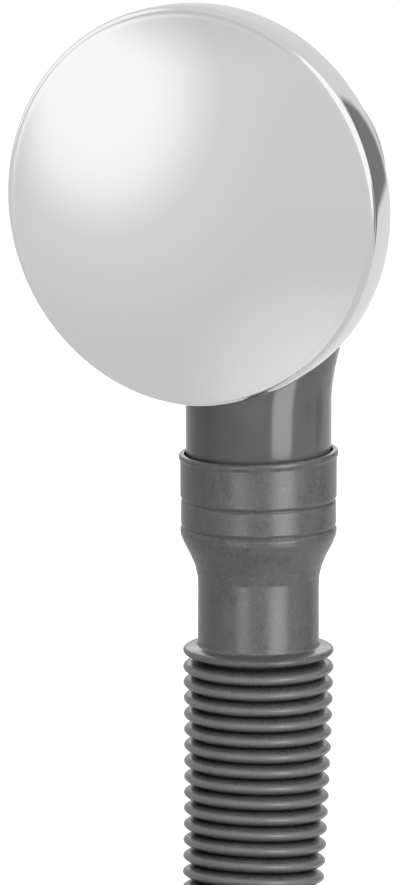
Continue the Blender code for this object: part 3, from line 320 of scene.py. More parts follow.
def blownPolypropylene(look=hoseLook):
    # Blow-moulded polypropylene: softer sheen, with cloudy flow marks and specks of talc, a painted
    # highlight that lightens the ribs' crests, and painted shade that darkens the grooves and the rings
    # moulded in the sockets
    material, tree, shader, place = startMaterial("blownPolypropylene", "#5E5E5E", 0.28, ior=1.49)
    cloud = addNode(tree, "TexNoise", {"Vector": place, **look["cloud"]}).outputs["Fac"]
    speck = addNode(tree, "TexNoise", {"Vector": place, **look["speck"]}).outputs["Fac"]
    groove = addNode(tree, "Attribute", attribute_name="groove").outputs["Fac"]
    flow = addNode(tree, "MapRange", {"Value": cloud, **look["flow"]}).outputs["Result"]
    colour = addNode(tree, "Mix", {0: flow, **look["colours"]}, data_type="RGBA").outputs[2]
    # Specks of talc, then a painted highlight on the crests (#747474) and painted shade in the grooves
    # (#232324)
    layers = ((speck, look["talc"], "#929292"), (groove, look["paintedCrestHighlight"], "#747474"),
              (groove, look["paintedGrooveShade"], "#232324"))
    for source, limits, tone in layers:
        share = addNode(tree, "MapRange", {"Value": source, **limits}).outputs["Result"]
        laidOver = {0: share, 6: colour, 7: hexLinear(tone)}
        colour = addNode(tree, "Mix", laidOver, data_type="RGBA").outputs[2]
    gloss = addNode(tree, "MapRange", {"Value": cloud, **look["gloss"]})
    relief = addNode(tree, "Math", {0: cloud, 1: speck}, operation="ADD")
    bump = addNode(tree, "Bump", {"Height": relief.outputs[0], **look["bump"]})
    feed(tree, shader, {"Base Color": colour, "Roughness": gloss.outputs["Result"],
                        "Normal": bump.outputs["Normal"]})
    return material


rubberLook = {
    "dust": {"Scale": perMillimetre(2), "Detail": 4},
    "colours": {6: hexLinear("#18181A"), 7: hexLinear("#29292A")},
    "bump": {"Strength": 0.4, "Distance": 0.02 * mm},
}


def nitrileRubber(look=rubberLook):
    # Moulded nitrile rubber: near black, matt, with dusty patches
    material, tree, shader, place = startMaterial("nitrileRubber", "#1E1E1F", 0.7, ior=1.52)
    dust = addNode(tree, "TexNoise", {"Vector": place, **look["dust"]})
    colour = addNode(tree, "Mix", {0: dust.outputs["Fac"], **look["colours"]}, data_type="RGBA")
    bump = addNode(tree, "Bump", {"Height": dust.outputs["Fac"], **look["bump"]})
    feed(tree, shader, {"Base Color": colour.outputs[2], "Normal": bump.outputs["Normal"]})
    return material


metalLook = {
    "marks": {"Scale": perMillimetre(0.4), "Detail": 2},
    "tarnish": {"Scale": perMillimetre(4), "Detail": 3},
    "glossShares": (0.8, 1.3),
    "bump": {"Strength": 0.4, "Distance": 0.004 * mm},
}


def turnedMetal(name, base, dark, roughness, look=metalLook):
    # Lathe-turned bar: bright, with fine tool marks that blur its reflections
    material, tree, shader, place = startMaterial(name, base, roughness, metallic=1)
    marks = addNode(tree, "TexNoise", {"Vector": place, **look["marks"]})
    tarnish = addNode(tree, "TexNoise", {"Vector": place, **look["tarnish"]})
    colours = {0: tarnish.outputs["Fac"], 6: hexLinear(dark), 7: hexLinear(base)}
    colour = addNode(tree, "Mix", colours, data_type="RGBA")
    smooth, rough = [roughness * share for share in look["glossShares"]]
    limits = {"Value": marks.outputs["Fac"], **noiseRange, "To Min": smooth, "To Max": rough}
    gloss = addNode(tree, "MapRange", limits)
    bump = addNode(tree, "Bump", {"Height": marks.outputs["Fac"], **look["bump"]})
    feed(tree, shader, {"Base Color": colour.outputs[2], "Roughness": gloss.outputs["Result"],
                        "Normal": bump.outputs["Normal"]})
    return material


acetalLook = {
    "cloud": {"Scale": perMillimetre(3), "Detail": 3},
    "colours": {6: hexLinear("#D2D1CA"), 7: hexLinear("#E2E1DC")},
    "milk": {"Subsurface Weight": 0.15, "Subsurface Scale": 1 * mm},
    "bump": {"Strength": 0.4, "Distance": 0.006 * mm},
}


def mouldedAcetal(look=acetalLook):
    # Acetal, natural white: waxy and slightly milky
    material, tree, shader, place = startMaterial("mouldedAcetal", "#DAD9D3", 0.38, ior=1.48)
    cloud = addNode(tree, "TexNoise", {"Vector": place, **look["cloud"]})
    colour = addNode(tree, "Mix", {0: cloud.outputs["Fac"], **look["colours"]}, data_type="RGBA")
    bump = addNode(tree, "Bump", {"Height": cloud.outputs["Fac"], **look["bump"]})
    feed(tree, shader, {"Base Color": colour.outputs[2], "Normal": bump.outputs["Normal"], **look["milk"]})
    return material


chrome = chromePlate()
satinPlastic = mouldedPolypropylene()
hosePlastic = blownPolypropylene()
rubber = nitrileRubber()
steel = turnedMetal("stainlessSteel", "#C9C8C5", "#B2B1AE", 0.24)
brass = turnedMetal("turnedBrass", "#D9BE7E", "#BB9A55", 0.26)
acetal = mouldedAcetal()
print("finishes made")


# Knob

# shoulderStart is the angle, in radians, at which the shoulder falls as steeply as the cap's rim
knobSizes = dict(radius=36.7, front=14.4, rise=3.4, inset=1.4, edge=1.8, capGap=0.15, shoulderStart=0.15,
                 backInset=0.6, back=5.0, wall=1.4, capRows=56, shoulderRows=14, sideRows=16, hemRows=9,
                 liningRows=12, columns=192)


def makeKnob(knob=knobSizes):
    # Height = a sphere's cap over the front, then a shoulder that is part of an ellipse out to the
    # widest ring, a side that draws in towards the back by backInset * s^2, a rolled hem, and a lining
    # inside that is a parabola
    front, wall = knob["front"], knob["wall"]
    rim = knob["radius"] - knob["inset"]
    out = np.linspace(0, rim - knob["capGap"], knob["capRows"])
    crown = capProfile(out, front, knob["rise"], capSphere(rim, knob["rise"]))
    turn = np.linspace(knob["shoulderStart"], math.pi / 2, knob["shoulderRows"])
    out = knob["radius"] - knob["inset"] * (1 - np.sin(turn))
    shoulder = np.stack([out, front - knob["edge"] * (1 - np.cos(turn))], -1)
    hem = wall / 2
    swing = np.linspace(0, -math.pi, knob["hemRows"])
    backRadius = knob["radius"] - knob["backInset"]
    hemCentre = np.array([backRadius - hem, knob["back"] + hem])
    rolled = hemCentre + hem * np.stack([np.cos(swing), np.sin(swing)], -1)
    share = np.linspace(0, 1, knob["sideRows"])[1:-1]
    fall = shoulder[-1, 1] + (rolled[0, 1] - shoulder[-1, 1]) * share
    side = np.stack([knob["radius"] - knob["backInset"] * share**2, fall], -1)
    inside = np.linspace(backRadius - wall, 0, knob["liningRows"])
    lining = np.stack([inside, front - wall + knob["rise"] * (1 - (inside / inside[0])**2)], -1)
    profile = np.concatenate([crown, shoulder, side, rolled, lining])
    grid = turnedGrid(profile, knob["columns"], "front")
    return gridPiece("knobCap", [(grid, False)], "knob", chrome, "knob_cap", sharp=60)


makeKnob()
smoothCopy("knob_carrier", "knob", satinPlastic)
smoothCopy("knob_screw", "knob", steel)
smoothCopy("spindle", "knob", steel)
smoothCopy("spindle_clip", "knob", steel)
smoothCopy("cable_wheel", "knob", brass, bevel=0.2)
print("knob made")


# Overflow head behind the sink's wall

# The drain's axis seen from above, and how far behind the knob's middle the pipe and the hose hang
drainAxis = (0, -120)
pipeSetBack = 16.1
# The hose's two ends are pushed over spigots of this kind
spigotSizes = dict(spigot=13.35, bore=10.4, chamfer=0.8)
headSizes = dict(**spigotSizes, setBack=pipeSetBack, top=-14, tip=-64.8, flareStart=-40.7,
                 flareLength=22.0, flareWidth=17.35, flareDepth=12.9, flareSetBack=16.4, rows=28,
                 columns=96, drumSteps=6, drumColumns=128)
# Corners (radius, height towards the front, fillet) from the drum's floor, round its flange, to its back
drumCorners = [(0, -26.4), (16.5, -26.4, 1), (20.3, -15, 2), (20.3, -3.3, 0.3), (30, -3.3, 0.6),
               (30, -6.3, 0.9), (27, -6.3, 0.8), (27, -12, 5), (19.5, -29.45, 2.2), (0, -29.45)]


def makeOverflowBody(head=headSizes):
    # Drum: its corners turned about the knob's axis. Pipe: level ellipses that narrow from the flare
    # to the round pipe by 3s^2 - 2s^3 across and s^3 in depth, and a bore that runs back up inside
    profile = roundedProfile(drumCorners, head["drumSteps"])
    drum = turnedGrid(profile, head["drumColumns"], "front")
    share = np.linspace(0, 1, head["rows"])
    narrowing, late = share**2 * (3 - 2 * share), share**3
    across = head["flareWidth"] + (head["spigot"] - head["flareWidth"]) * narrowing
    deep = head["flareDepth"] + (head["spigot"] - head["flareDepth"]) * late
    back = head["flareSetBack"] + (head["setBack"] - head["flareSetBack"]) * late
    height = head["flareStart"] + head["flareLength"] * (1 - share)
    tail = np.array([(head["spigot"], head["tip"] + head["chamfer"]),
                     (head["spigot"] - head["chamfer"], head["tip"]),
                     (head["bore"], head["tip"]), (head["bore"], head["top"])])
    across = np.concatenate([across[:1], across, tail[:, 0]])
    deep = np.concatenate([deep[:1], deep, tail[:, 0]])
    back = np.concatenate([back[:1], back, np.full(len(tail), head["setBack"])])
    height = np.concatenate([[head["top"]], height, tail[:, 1]])
    angle = anglesRound(head["columns"])
    x = across[:, None] * np.cos(angle)
    y = back[:, None] + deep[:, None] * np.sin(angle)
    z = np.broadcast_to(height[:, None], x.shape)
    grids = [(drum, False), (np.stack([x, y, z], -1) * mm, True)]
    return gridPiece("overflowBody", grids, "housing", satinPlastic, "overflow_body",
                     sharp=50)


ringSizes = {
    "rearGasket": dict(node="rear_gasket", axis="front", inner=22.5, outer=29.4, top=0, bottom=-3.0),
    "frontGasket": dict(node="front_gasket", axis="front", inner=20.3, outer=29.4, top=3.7, bottom=2.5),
    "lowerGasket": dict(node="lower_gasket", axis="up", inner=24, outer=32, top=-2.5, bottom=-5.5),
    "upperGasket": dict(node="upper_gasket", axis="up", inner=23.8, outer=34.4, top=1, bottom=0),
}
ringCentres = {"front": (0, 0, 0), "up": (*drainAxis, -150)}
ringShape = dict(fillet=0.5, steps=3, columns=128)


def makeGaskets(shape=ringShape):
    # A rectangle turned about its axis, its corners rounded by at most a third of its thickness
    for name, ring in ringSizes.items():
        inner, outer, top, bottom = ring["inner"], ring["outer"], ring["top"], ring["bottom"]
        fillet = min(shape["fillet"], (top - bottom) / 3)
        corners = [(inner, top, fillet), (outer, top, fillet),
                   (outer, bottom, fillet), (inner, bottom, fillet)]
        profile = ringProfile(corners, shape["steps"])
        grid = turnedGrid(profile, shape["columns"], ring["axis"], ringCentres[ring["axis"]])
        gridPiece(name, [(grid, True)], "housing", rubber, ring["node"], sharp=60)


makeOverflowBody()
makeGaskets()
smoothCopy("overflow_bush", "housing", satinPlastic, bevel=0.25)
smoothCopy("upper_seal", "housing", rubber)
smoothCopy("lower_seal", "housing", rubber)
print("overflow head made")


# Ribbed hose with its two socket ends

# lean is in degrees; the ribs' crests fall by fall over the first fallCount of them
hoseSizes = dict(top=-49.3, setBack=pipeSetBack, collarEnd=39.3, upperBend=400, lean=6, straight=17.07,
                 lowerBend=47.59, ribs=43, margin=0.3, crest=13.85, fall=0.9, fallCount=15, depth=2.6,
                 ribPower=0.62, perRib=16, cuffRows=260, boreRows=40, lineRows=8001, columns=64)
# Outer side of a socket end: (distance from its lip, radius)
cuffKeys = [(0, 14.30), (0.2, 14.60), (0.9, 14.62), (1.5, 14.36), (9.1, 14.34), (9.35, 13.98),
            (9.65, 13.98), (9.95, 14.20), (14.1, 14.24), (14.35, 13.98), (14.6, 13.98), (15.1, 14.36),
            (16.2, 14.24), (17.8, 13.6), (19.9, 12.5), (21.9, 11.65), (24.0, 11.16), (26.5, 11.08),
            (36.6, 11.12), (36.9, 11.25), (37.0, 12.3), (37.2, 13.2), (37.55, 13.75), (37.95, 13.85),
            (38.4, 13.65), (38.8, 12.9), (39.1, 11.9), (39.3, 11.25)]
# Its inner side
boreKeys = [(0, 13.72), (15.6, 13.72), (18, 12.4), (24.6, 10.1), (39.3, 9.9)]
# The upper lip is a little askew: it lies lower by drop - tilt at the right and drop + tilt at the left
lipSizes = dict(length=9, tilt=0.5, drop=0.8)
# What the finish's groove attribute goes by, which places its painted highlight on the crests and its
# painted shade in the hollows: the ribs count from overlap before the collar's end, their crests fall over
# fallLength, and the painted shade in the two rings moulded in a socket is half as dark as in the ribs'
# grooves
grooveSizes = dict(crestLevel=-0.3, overlap=0.7, fallLength=44.7, ringStart=9.0, ringEnd=15.2,
                   ringFloor=13.8, ringTop=14.2, ringDepth=0.2, ringShare=0.5)


def hoseTurns(hose=hoseSizes):
    # Distances from the upper lip at which the hose's lean changes, and the lean at each
    lean = math.radians(hose["lean"])
    runs = [hose["collarEnd"], hose["upperBend"] * lean, hose["straight"],
            hose["lowerBend"] * (math.pi / 2 - lean), hose["collarEnd"]]
    leans = np.array([0, 0, lean, lean, math.pi / 2, math.pi / 2])
    return np.concatenate([[0], np.cumsum(runs)]), leans


def hoseLine(distance, hose=hoseSizes):
    # y = set back - sum of sin(lean), z = top - sum of cos(lean); returns the place and its outward normal
    stations, leans = hoseTurns()
    fine = np.linspace(0, stations[-1], hose["lineRows"])
    middle = np.interp((fine[1:] + fine[:-1]) / 2, stations, leans)
    step = fine[1]
    forward = np.concatenate([[0], np.cumsum(np.sin(middle)) * step])
    fallen = np.concatenate([[0], np.cumsum(np.cos(middle)) * step])
    y = hose["setBack"] - np.interp(distance, fine, forward)
    z = hose["top"] - np.interp(distance, fine, fallen)
    lean = np.interp(distance, stations, leans)
    return np.stack([0 * y, y, z], -1), np.stack([0 * y, np.cos(lean), -np.sin(lean)], -1)


def hoseProfile(hose=hoseSizes):
    # Radius along the hose: the socket's keys at both ends, and between them ribs whose radius is
    # crest - depth * (1 - sin(pi * share)^ribPower) over each pitch, then the bore back to the start
    collarEnd, margin = hose["collarEnd"], hose["margin"]
    keys, bore = np.array(cuffKeys), np.array(boreKeys)
    cuff = np.linspace(0, collarEnd, hose["cuffRows"])
    edge = np.interp(cuff, keys[:, 0], keys[:, 1])
    soft = np.convolve(np.pad(edge, 1, "edge"), [0.25, 0.5, 0.25], "valid")
    total = hoseTurns()[0][-1]
    length = total - 2 * collarEnd - 2 * margin
    share = np.arange(hose["ribs"] * hose["perRib"] + 1) / hose["perRib"]
    crest = hose["crest"] - hose["fall"] * np.minimum(share / hose["fallCount"], 1)
    ribs = crest - hose["depth"] * (1 - np.sin(math.pi * (share % 1)) ** hose["ribPower"])
    ribPlaces = collarEnd + margin + share * length / hose["ribs"]
    middle = np.linspace(collarEnd, total - collarEnd, hose["boreRows"])[1:-1]
    inside = np.concatenate([bore[:, 0], middle, total - bore[::-1, 0]])
    insideRadius = np.concatenate([bore[:, 1], np.full(len(middle), bore[-1, 1]), bore[::-1, 1]])
    distance = np.concatenate([cuff[:-1], ribPlaces, total - cuff[-2::-1], inside[::-1]])
    radius = np.concatenate([soft[:-1], ribs, soft[-2::-1], insideRadius[::-1]])
    return distance, radius, total


def grooveLevels(distance, radius, total, hose=hoseSizes, groove=grooveSizes):
    # How deep in a groove each point lies, for the finish's painted shade and painted highlight: 1 at the
    # bottom, 0 where the hose is plain and crestLevel on a rib's crest, where the finish paints a highlight
    ribStart = hose["collarEnd"] - groove["overlap"]
    ribbed = (distance > ribStart) & (distance < total - ribStart)
    fallen = np.clip((distance - hose["collarEnd"]) / groove["fallLength"], 0, 1)
    sunk = np.clip((hose["crest"] - hose["fall"] * fallen - radius) / hose["depth"], 0, 1)
    level = np.where(ribbed, (1 - groove["crestLevel"]) * sunk + groove["crestLevel"], 0)
    fromEnd = np.minimum(distance, total - distance)
    ringed = (fromEnd > groove["ringStart"]) & (fromEnd < groove["ringEnd"])
    ringed = ringed & (radius > groove["ringFloor"])
    ringSunk = np.clip((groove["ringTop"] - radius) / groove["ringDepth"], 0, 1)
    return level + np.where(ringed, ringSunk * groove["ringShare"], 0)


def makeHose(hose=hoseSizes, lip=lipSizes):
    # Point = centre line + radius * (cos a * side + sin a * normal), down the outside and up the bore
    distance, radius, total = hoseProfile()
    place, normal = hoseLine(distance)
    angle = anglesRound(hose["columns"])
    side = np.array([1.0, 0, 0])
    ring = np.cos(angle)[None, :, None] * side + np.sin(angle)[None, :, None] * normal[:, None, :]
    points = place[:, None, :] + radius[:, None, None] * ring
    nearLip = np.clip(1 - distance / lip["length"], 0, 1)[:, None]
    points[..., 2] += nearLip * (lip["tilt"] * np.cos(angle)[None] - lip["drop"])
    mesh = bpy.data.meshes.new("overflowHose")
    faces = gridFaces(len(points), hose["columns"], True)
    mesh.from_pydata((points * mm).reshape(-1, 3).tolist(), [], faces.tolist())
    # The groove attribute sets where the finish paints shade in the hollows and a highlight on the crests
    layer = mesh.attributes.new("groove", "FLOAT", "POINT")
    layer.data.foreach_set("value", np.repeat(grooveLevels(distance, radius, total), hose["columns"]))
    return settle("overflowHose", mesh, "housing", hosePlastic, "overflow_hose", sharp=60)


makeHose()
print("hose made")


# Cable inside the hose

for nodeName, bodyName, finish, slotName in (
    ("cable_holder", "housing", acetal, "white_plastic"),
    ("cable_core", "core", steel, "steel"),
    ("cable_ferrule", "housing", brass, "brass"),
    ("cable_sheath", "housing", rubber, "rubber"),
    ("cable_guide", "housing", acetal, "white_plastic"),
    ("cable_pusher", "pusher", steel, "steel"),
    ("rocker", "lever", acetal, "white_plastic"),
    ("rocker_pin", "housing", steel, "steel"),
):
    smoothCopy(nodeName, bodyName, finish)
print("cable made")


# Waste body under the sink's floor

wasteSizes = dict(axis=(*drainAxis, -150), rim=33, rimTop=-5.8, rimBottom=-9.3, radius=27.2, wall=2.8,
                  bowlEnd=-54, coneEnd=-64, outlet=20.9, outletBore=18, end=-82, chamfer=0.8, steps=6,
                  columns=128)
threadSizes = dict(top=-66.5, pitch=2.3, depth=0.9, power=0.8, plainEnd=1.0, topFade=1.5, endFade=0.8,
                   rows=120)
inletSizes = dict(**spigotSizes, height=-190, root=16.1, start=-24.5, rootEnd=-30.0, rootStep=1.6,
                  tip=-61.0, steps=5, columns=96)
# The cross that guides the stem: three thin arms and a broad one, from which two cheeks hang for the
# rocker's pin. The hub's lower edge stays 0.4 above the arms' so that the rocker's raised tip clears it
crossSizes = dict(top=-15, thick=6, lap=1.2, gap=5.6, arms=(3.0, 3.0, 3.0, 13.2), corner=0.4,
                  cheekSpread=5.5, cheekBack=13, cheekEnd=-31.2, cheekWidth=2.2, cheekDepth=8.4)
crossHub = [(5.2, 0.3, 0.2), (8.0, 0.3, 0.4), (8.0, -5.6, 0.4), (5.2, -5.6, 0.2)]
crossHubShape = dict(steps=3, columns=64)


def threadedOutlet(waste=wasteSizes, thread=threadSizes):
    # Radius = outlet - depth * ((1 - cos t) / 2)^power, faded at both ends, where t makes a full turn
    # for each pitch of height and each time round
    end = waste["end"] + thread["plainEnd"]
    height = np.linspace(thread["top"], end, thread["rows"])
    angle = anglesRound(waste["columns"])
    phase = height[:, None] / thread["pitch"] + angle / (2 * math.pi)
    wave = 0.5 - 0.5 * np.cos(2 * math.pi * phase)
    fade = np.clip((thread["top"] - height) / thread["topFade"], 0, 1)
    fade = fade * np.clip((height - end) / thread["endFade"], 0, 1)
    radius = waste["outlet"] - thread["depth"] * wave ** thread["power"] * fade[:, None]
    heights = np.broadcast_to(height[:, None], radius.shape)
    points = np.stack([radius * np.cos(angle), radius * np.sin(angle), heights], -1)
    return (points + np.array(waste["axis"])) * mm


def bowlGrid(waste=wasteSizes, thread=threadSizes):
    # Corners turned about the drain's axis, with the threaded stretch let in at the outlet
    rim, rimTop, rimBottom = waste["rim"], waste["rimTop"], waste["rimBottom"]
    outside, outlet, bore = waste["radius"], waste["outlet"], waste["outletBore"]
    end, wall = waste["end"], waste["wall"]
    inside = outside - wall
    upper = [(inside, rimTop), (rim, rimTop, 0.6), (rim, rimBottom, 0.8), (outside, rimBottom, 1.2),
             (outside, waste["bowlEnd"], 4), (outlet, waste["coneEnd"], 4), (outlet, thread["top"])]
    lower = [(outlet, end + thread["plainEnd"]), (outlet - waste["chamfer"], end), (bore, end),
             (bore, waste["coneEnd"] + wall, 3), (inside, waste["bowlEnd"] + wall, 3), (inside, rimTop)]
    above, below = [
        turnedGrid(roundedProfile(corners, waste["steps"]), waste["columns"], "up", waste["axis"])
        for corners in (upper, lower)
    ]
    return np.concatenate([above[:-1], threadedOutlet(), below[1:]])


def inletGrid(waste=wasteSizes, inlet=inletSizes):
    # Corners turned about the pipe's axis, which runs backwards from the bowl
    bore, root, spigot, tip = inlet["bore"], inlet["root"], inlet["spigot"], inlet["tip"]
    corners = [(bore, inlet["start"], 0), (root, inlet["start"], 0), (root, inlet["rootEnd"], 1.5),
               (spigot, inlet["rootEnd"] - inlet["rootStep"], 1.2), (spigot, tip + inlet["chamfer"], 0.3),
               (spigot - inlet["chamfer"], tip, 0.3), (bore, tip, 0.3)]
    centre = (0, waste["axis"][1], inlet["height"])
    return turnedGrid(ringProfile(corners, inlet["steps"]), inlet["columns"], "front", centre)


def makeWasteBody(waste=wasteSizes, cross=crossSizes):
    # Bowl, inlet, the cross's arms, which reach a little into the wall, then its cheeks and its hub
    grids = [(bowlGrid(), True), (inletGrid(), True)]
    axis = np.array(waste["axis"], float)
    middle = axis + (0, 0, cross["top"] - cross["thick"] / 2)
    reach = waste["radius"] - waste["wall"] + cross["lap"]
    for (start, end), width in zip(crossArms(middle, cross["gap"], reach), cross["arms"]):
        grids.append((barGrid(start, end, width, cross["thick"], cross["corner"]), False))
    for side in (-1, 1):
        start = middle + (side * cross["cheekSpread"], cross["cheekBack"], 0)
        end = (*start[:2], axis[2] + cross["cheekEnd"])
        cheek = barGrid(start, end, cross["cheekWidth"], cross["cheekDepth"], cross["corner"])
        grids.append((cheek, False))
    hub = ringProfile(crossHub, crossHubShape["steps"])
    hubCentre = axis + (0, 0, cross["top"])
    grids.append((turnedGrid(hub, crossHubShape["columns"], "up", hubCentre), True))
    return gridPiece("wasteBody", grids, "housing", satinPlastic, "waste_body", sharp=50)


flangeSizes = dict(centre=(*drainAxis, -147.2), radius=35, thickness=1.5, throat=23.5, wall=1.5,
                   depth=12.5, lead=2.0, lap=0.6, gap=5.6, armWidth=3.0, armHeight=2.2, corner=0.5,
                   steps=8, columns=160)
flangeHub = [(5.2, 1.1, 0.3), (8.5, 1.1, 0.6), (8.5, -1.1, 0.5), (5.2, -1.1, 0.3)]
flangeHubShape = dict(steps=4, columns=64)


def makeFlange(flange=flangeSizes):
    # A lip with a rounded edge that rolls into the throat, all turned about the drain's axis, and a
    # cross of four arms round a hub at the throat's foot
    throat, depth, thickness = flange["throat"], flange["depth"], flange["thickness"]
    inner = throat - flange["wall"]
    corners = [(inner, -depth, 0.3), (inner, 0, flange["lead"]), (flange["radius"], 0, 0.7),
               (flange["radius"], -thickness, 0.3), (throat, -thickness, 0.5), (throat, -depth, 0.3)]
    profile = ringProfile(corners, flange["steps"])
    grids = [(turnedGrid(profile, flange["columns"], "up", flange["centre"]), True)]
    middle = np.array(flange["centre"], float)
    middle[2] = middle[2] - depth + flange["armHeight"] / 2
    for start, end in crossArms(middle, flange["gap"], inner + flange["lap"]):
        arm = barGrid(start, end, flange["armWidth"], flange["armHeight"], flange["corner"])
        grids.append((arm, False))
    hub = ringProfile(flangeHub, flangeHubShape["steps"])
    grids.append((turnedGrid(hub, flangeHubShape["columns"], "up", middle), True))
    return gridPiece("wasteFlange", grids, "housing", chrome, "waste_flange", sharp=50)


makeWasteBody()
makeFlange()
smoothCopy("hollow_bolt", "housing", brass, bevel=0.25)
print("waste end made")


# Plug

plugSizes = dict(centre=(*drainAxis, -146.9), radius=30, thickness=2.2, rise=2.6, edge=1.0, edgeInset=0.15,
                 underInset=0.2, hub=11.7, hubDepth=1.3, hole=2.5, holeTop=2.0, capRows=40, edgeRows=14,
                 steps=4, columns=160)


def makePlugCap(plug=plugSizes):
    # A sphere's cap over the top, a rounded edge, and a flat underside with a hub and the stem's hole
    edge = plug["edge"]
    outer = plug["radius"] - edge
    sphere = capSphere(outer, plug["rise"])
    crown = capProfile(np.linspace(0, outer, plug["capRows"]), plug["thickness"], plug["rise"], sphere)
    turn = np.linspace(math.pi / 2 - math.asin(outer / sphere), -math.pi / 2, plug["edgeRows"])
    middle = np.array([outer - plug["edgeInset"], plug["thickness"] - edge])
    rounded = middle + edge * np.stack([np.cos(turn), np.sin(turn)], -1)
    rounded[:, 1] = np.maximum(rounded[:, 1], 0)
    hub, hubDepth, hole, holeTop = plug["hub"], plug["hubDepth"], plug["hole"], plug["holeTop"]
    under = [(outer - plug["underInset"], 0), (hub, 0, 0.4), (hub, -hubDepth, 0.3), (hole, -hubDepth, 0.2),
             (hole, holeTop), (0, holeTop)]
    profile = np.concatenate([crown, rounded[1:], roundedProfile(under, plug["steps"])])
    grid = turnedGrid(profile, plug["columns"], "up", plug["centre"])
    return gridPiece("plugCap", [(grid, False)], "plug", chrome, "plug_cap", sharp=50)


makePlugCap()
for nodeName, finish, slotName in (
    ("plug_seal", rubber, "rubber"),
    ("plug_retainer", acetal, "white_plastic"),
    ("plug_stem", brass, "brass"),
    ("stem_nut", brass, "brass"),
    ("stem_foot", acetal, "white_plastic"),
):
    smoothCopy(nodeName, "plug", finish)
print("plug made")


# Floor, light and camera

studioSizes = dict(floor=-0.2325, floorHalf=8, aim=(0, 0, -0.1))
# Seen from the aim: where a softbox stands, its size and its brightness
lamps = {
    "keySoftbox": dict(azimuth=63, elevation=4, distance=1.2, width=0.72, height=1.2, radiance=5.2),
    "lowCard": dict(azimuth=-3, elevation=-10, distance=0.5, width=0.20, height=0.09, radiance=4.6),
    "paleWall": dict(azimuth=6, elevation=12, distance=1.0, width=1.05, height=0.66, radiance=0.5),
    "topSoftbox": dict(azimuth=-30, elevation=72, distance=1.5, width=1.1, height=1.1, radiance=1.2),
    "backSoftbox": dict(azimuth=205, elevation=30, distance=1.4, width=0.9, height=0.9, radiance=2.0),
}
# Polished metal is lit by the world alone, so that no lamp's outline shows in the disc, and the low
# card, which draws the hose's second highlight, misses the pipe above it
missed = {name: ["knobCap", "wasteFlange", "plugCap"] for name in lamps}
missed["lowCard"].append("overflowBody")


def direction(azimuth, elevation):
    # Azimuth 0 is in front of the knob (-Y), 90 to its right
    a, e = math.radians(azimuth), math.radians(elevation)
    return Vector((math.sin(a) * math.cos(e), -math.cos(a) * math.cos(e), math.sin(e)))


def addLamp(name, sizes):
    lamp = bpy.data.lights.new(name, "AREA")
    lamp.shape = "RECTANGLE"
    lamp.size, lamp.size_y = sizes["width"], sizes["height"]
    lamp.energy = sizes["radiance"] * math.pi * sizes["width"] * sizes["height"]
    holder = bpy.data.objects.new(name, lamp)
    towards = direction(sizes["azimuth"], sizes["elevation"])
    holder.location = Vector(studioSizes["aim"]) + towards * sizes["distance"]
    holder.rotation_euler = towards.to_track_quat("Z", "Y").to_euler()
    bpy.context.scene.collection.objects.link(holder)
    unlit = bpy.data.collections.new(name + "Misses")
    for pieceName in missed[name]:
        unlit.objects.link(bpy.data.objects[pieceName])
    for entry in unlit.collection_objects:
        entry.light_linking.link_state = "EXCLUDE"
    holder.light_linking.receiver_collection = unlit


def grey(level):
    return (level, level, level, 1)


floorLook = dict(plain=0.45, shaded=0.42, glow=0.85)


def makeFloor(studio=studioSizes, look=floorLook):
    # Pale floor: white to the camera apart from the part's own shadow, and light grey to everything else
    half = studio["floorHalf"]
    grid = np.array([[(-half, -half), (half, -half)], [(-half, half), (half, half)]], float)
    points = np.concatenate([grid, np.full((2, 2, 1), studio["floor"])], -1)
    mesh = bpy.data.meshes.new("floor")
    mesh.from_pydata(points.reshape(-1, 3).tolist(), [], [(0, 1, 3, 2)])
    material = bpy.data.materials.new("paleFloor")
    material.use_nodes = True
    tree = material.node_tree
    tree.nodes.clear()
    toCamera = addNode(tree, "LightPath").outputs["Is Camera Ray"]
    plain = addNode(tree, "BsdfDiffuse", {"Color": grey(look["plain"])})
    shaded = addNode(tree, "BsdfDiffuse", {"Color": grey(look["shaded"])})
    glow = addNode(tree, "Emission", {"Color": grey(1), "Strength": look["glow"]})
    seen = addNode(tree, "AddShader", {0: shaded.outputs[0], 1: glow.outputs[0]})
    mix = addNode(tree, "MixShader", {0: toCamera, 1: plain.outputs[0], 2: seen.outputs[0]})
    addNode(tree, "OutputMaterial", {"Surface": mix.outputs[0]})
    mesh.materials.append(material)
    floor = bpy.data.objects.new("floor", mesh)
    bpy.context.scene.collection.objects.link(floor)
    floor.visible_glossy = False


# What polished metal sees of the studio: (azimuth, elevation, full within, gone past, brightness)
studioSpots = [
    (-35.2, 1, 8, 25, 0.83),
    (-35.9, 2.2, 4, 16.5, 1.21),
    (-6, -35, 4, 21, 0.94),
    (-88, 28, 24, 34, 1.15),
    (87, 30, 33, 42, 1.2),
    (110, -5, 8, 12, 0.3),
    (147, 1, 22.5, 26.5, 0.22),
    (172, -40, 34, 37, 0.84),
    (-61, -4, 9, 19, 0.74),
    (-25, 32, 18, 28, 0.69),
]
# Outside the spots it sees a level that goes by how far up the ray points. The camera's own rays and
# all the others see one strength each
studioLevel = {"From Min": -0.6, "From Max": 0.3, "To Min": 0.71, "To Max": 0.79}
plainStrength, cameraStrength = 0.33, 1.0


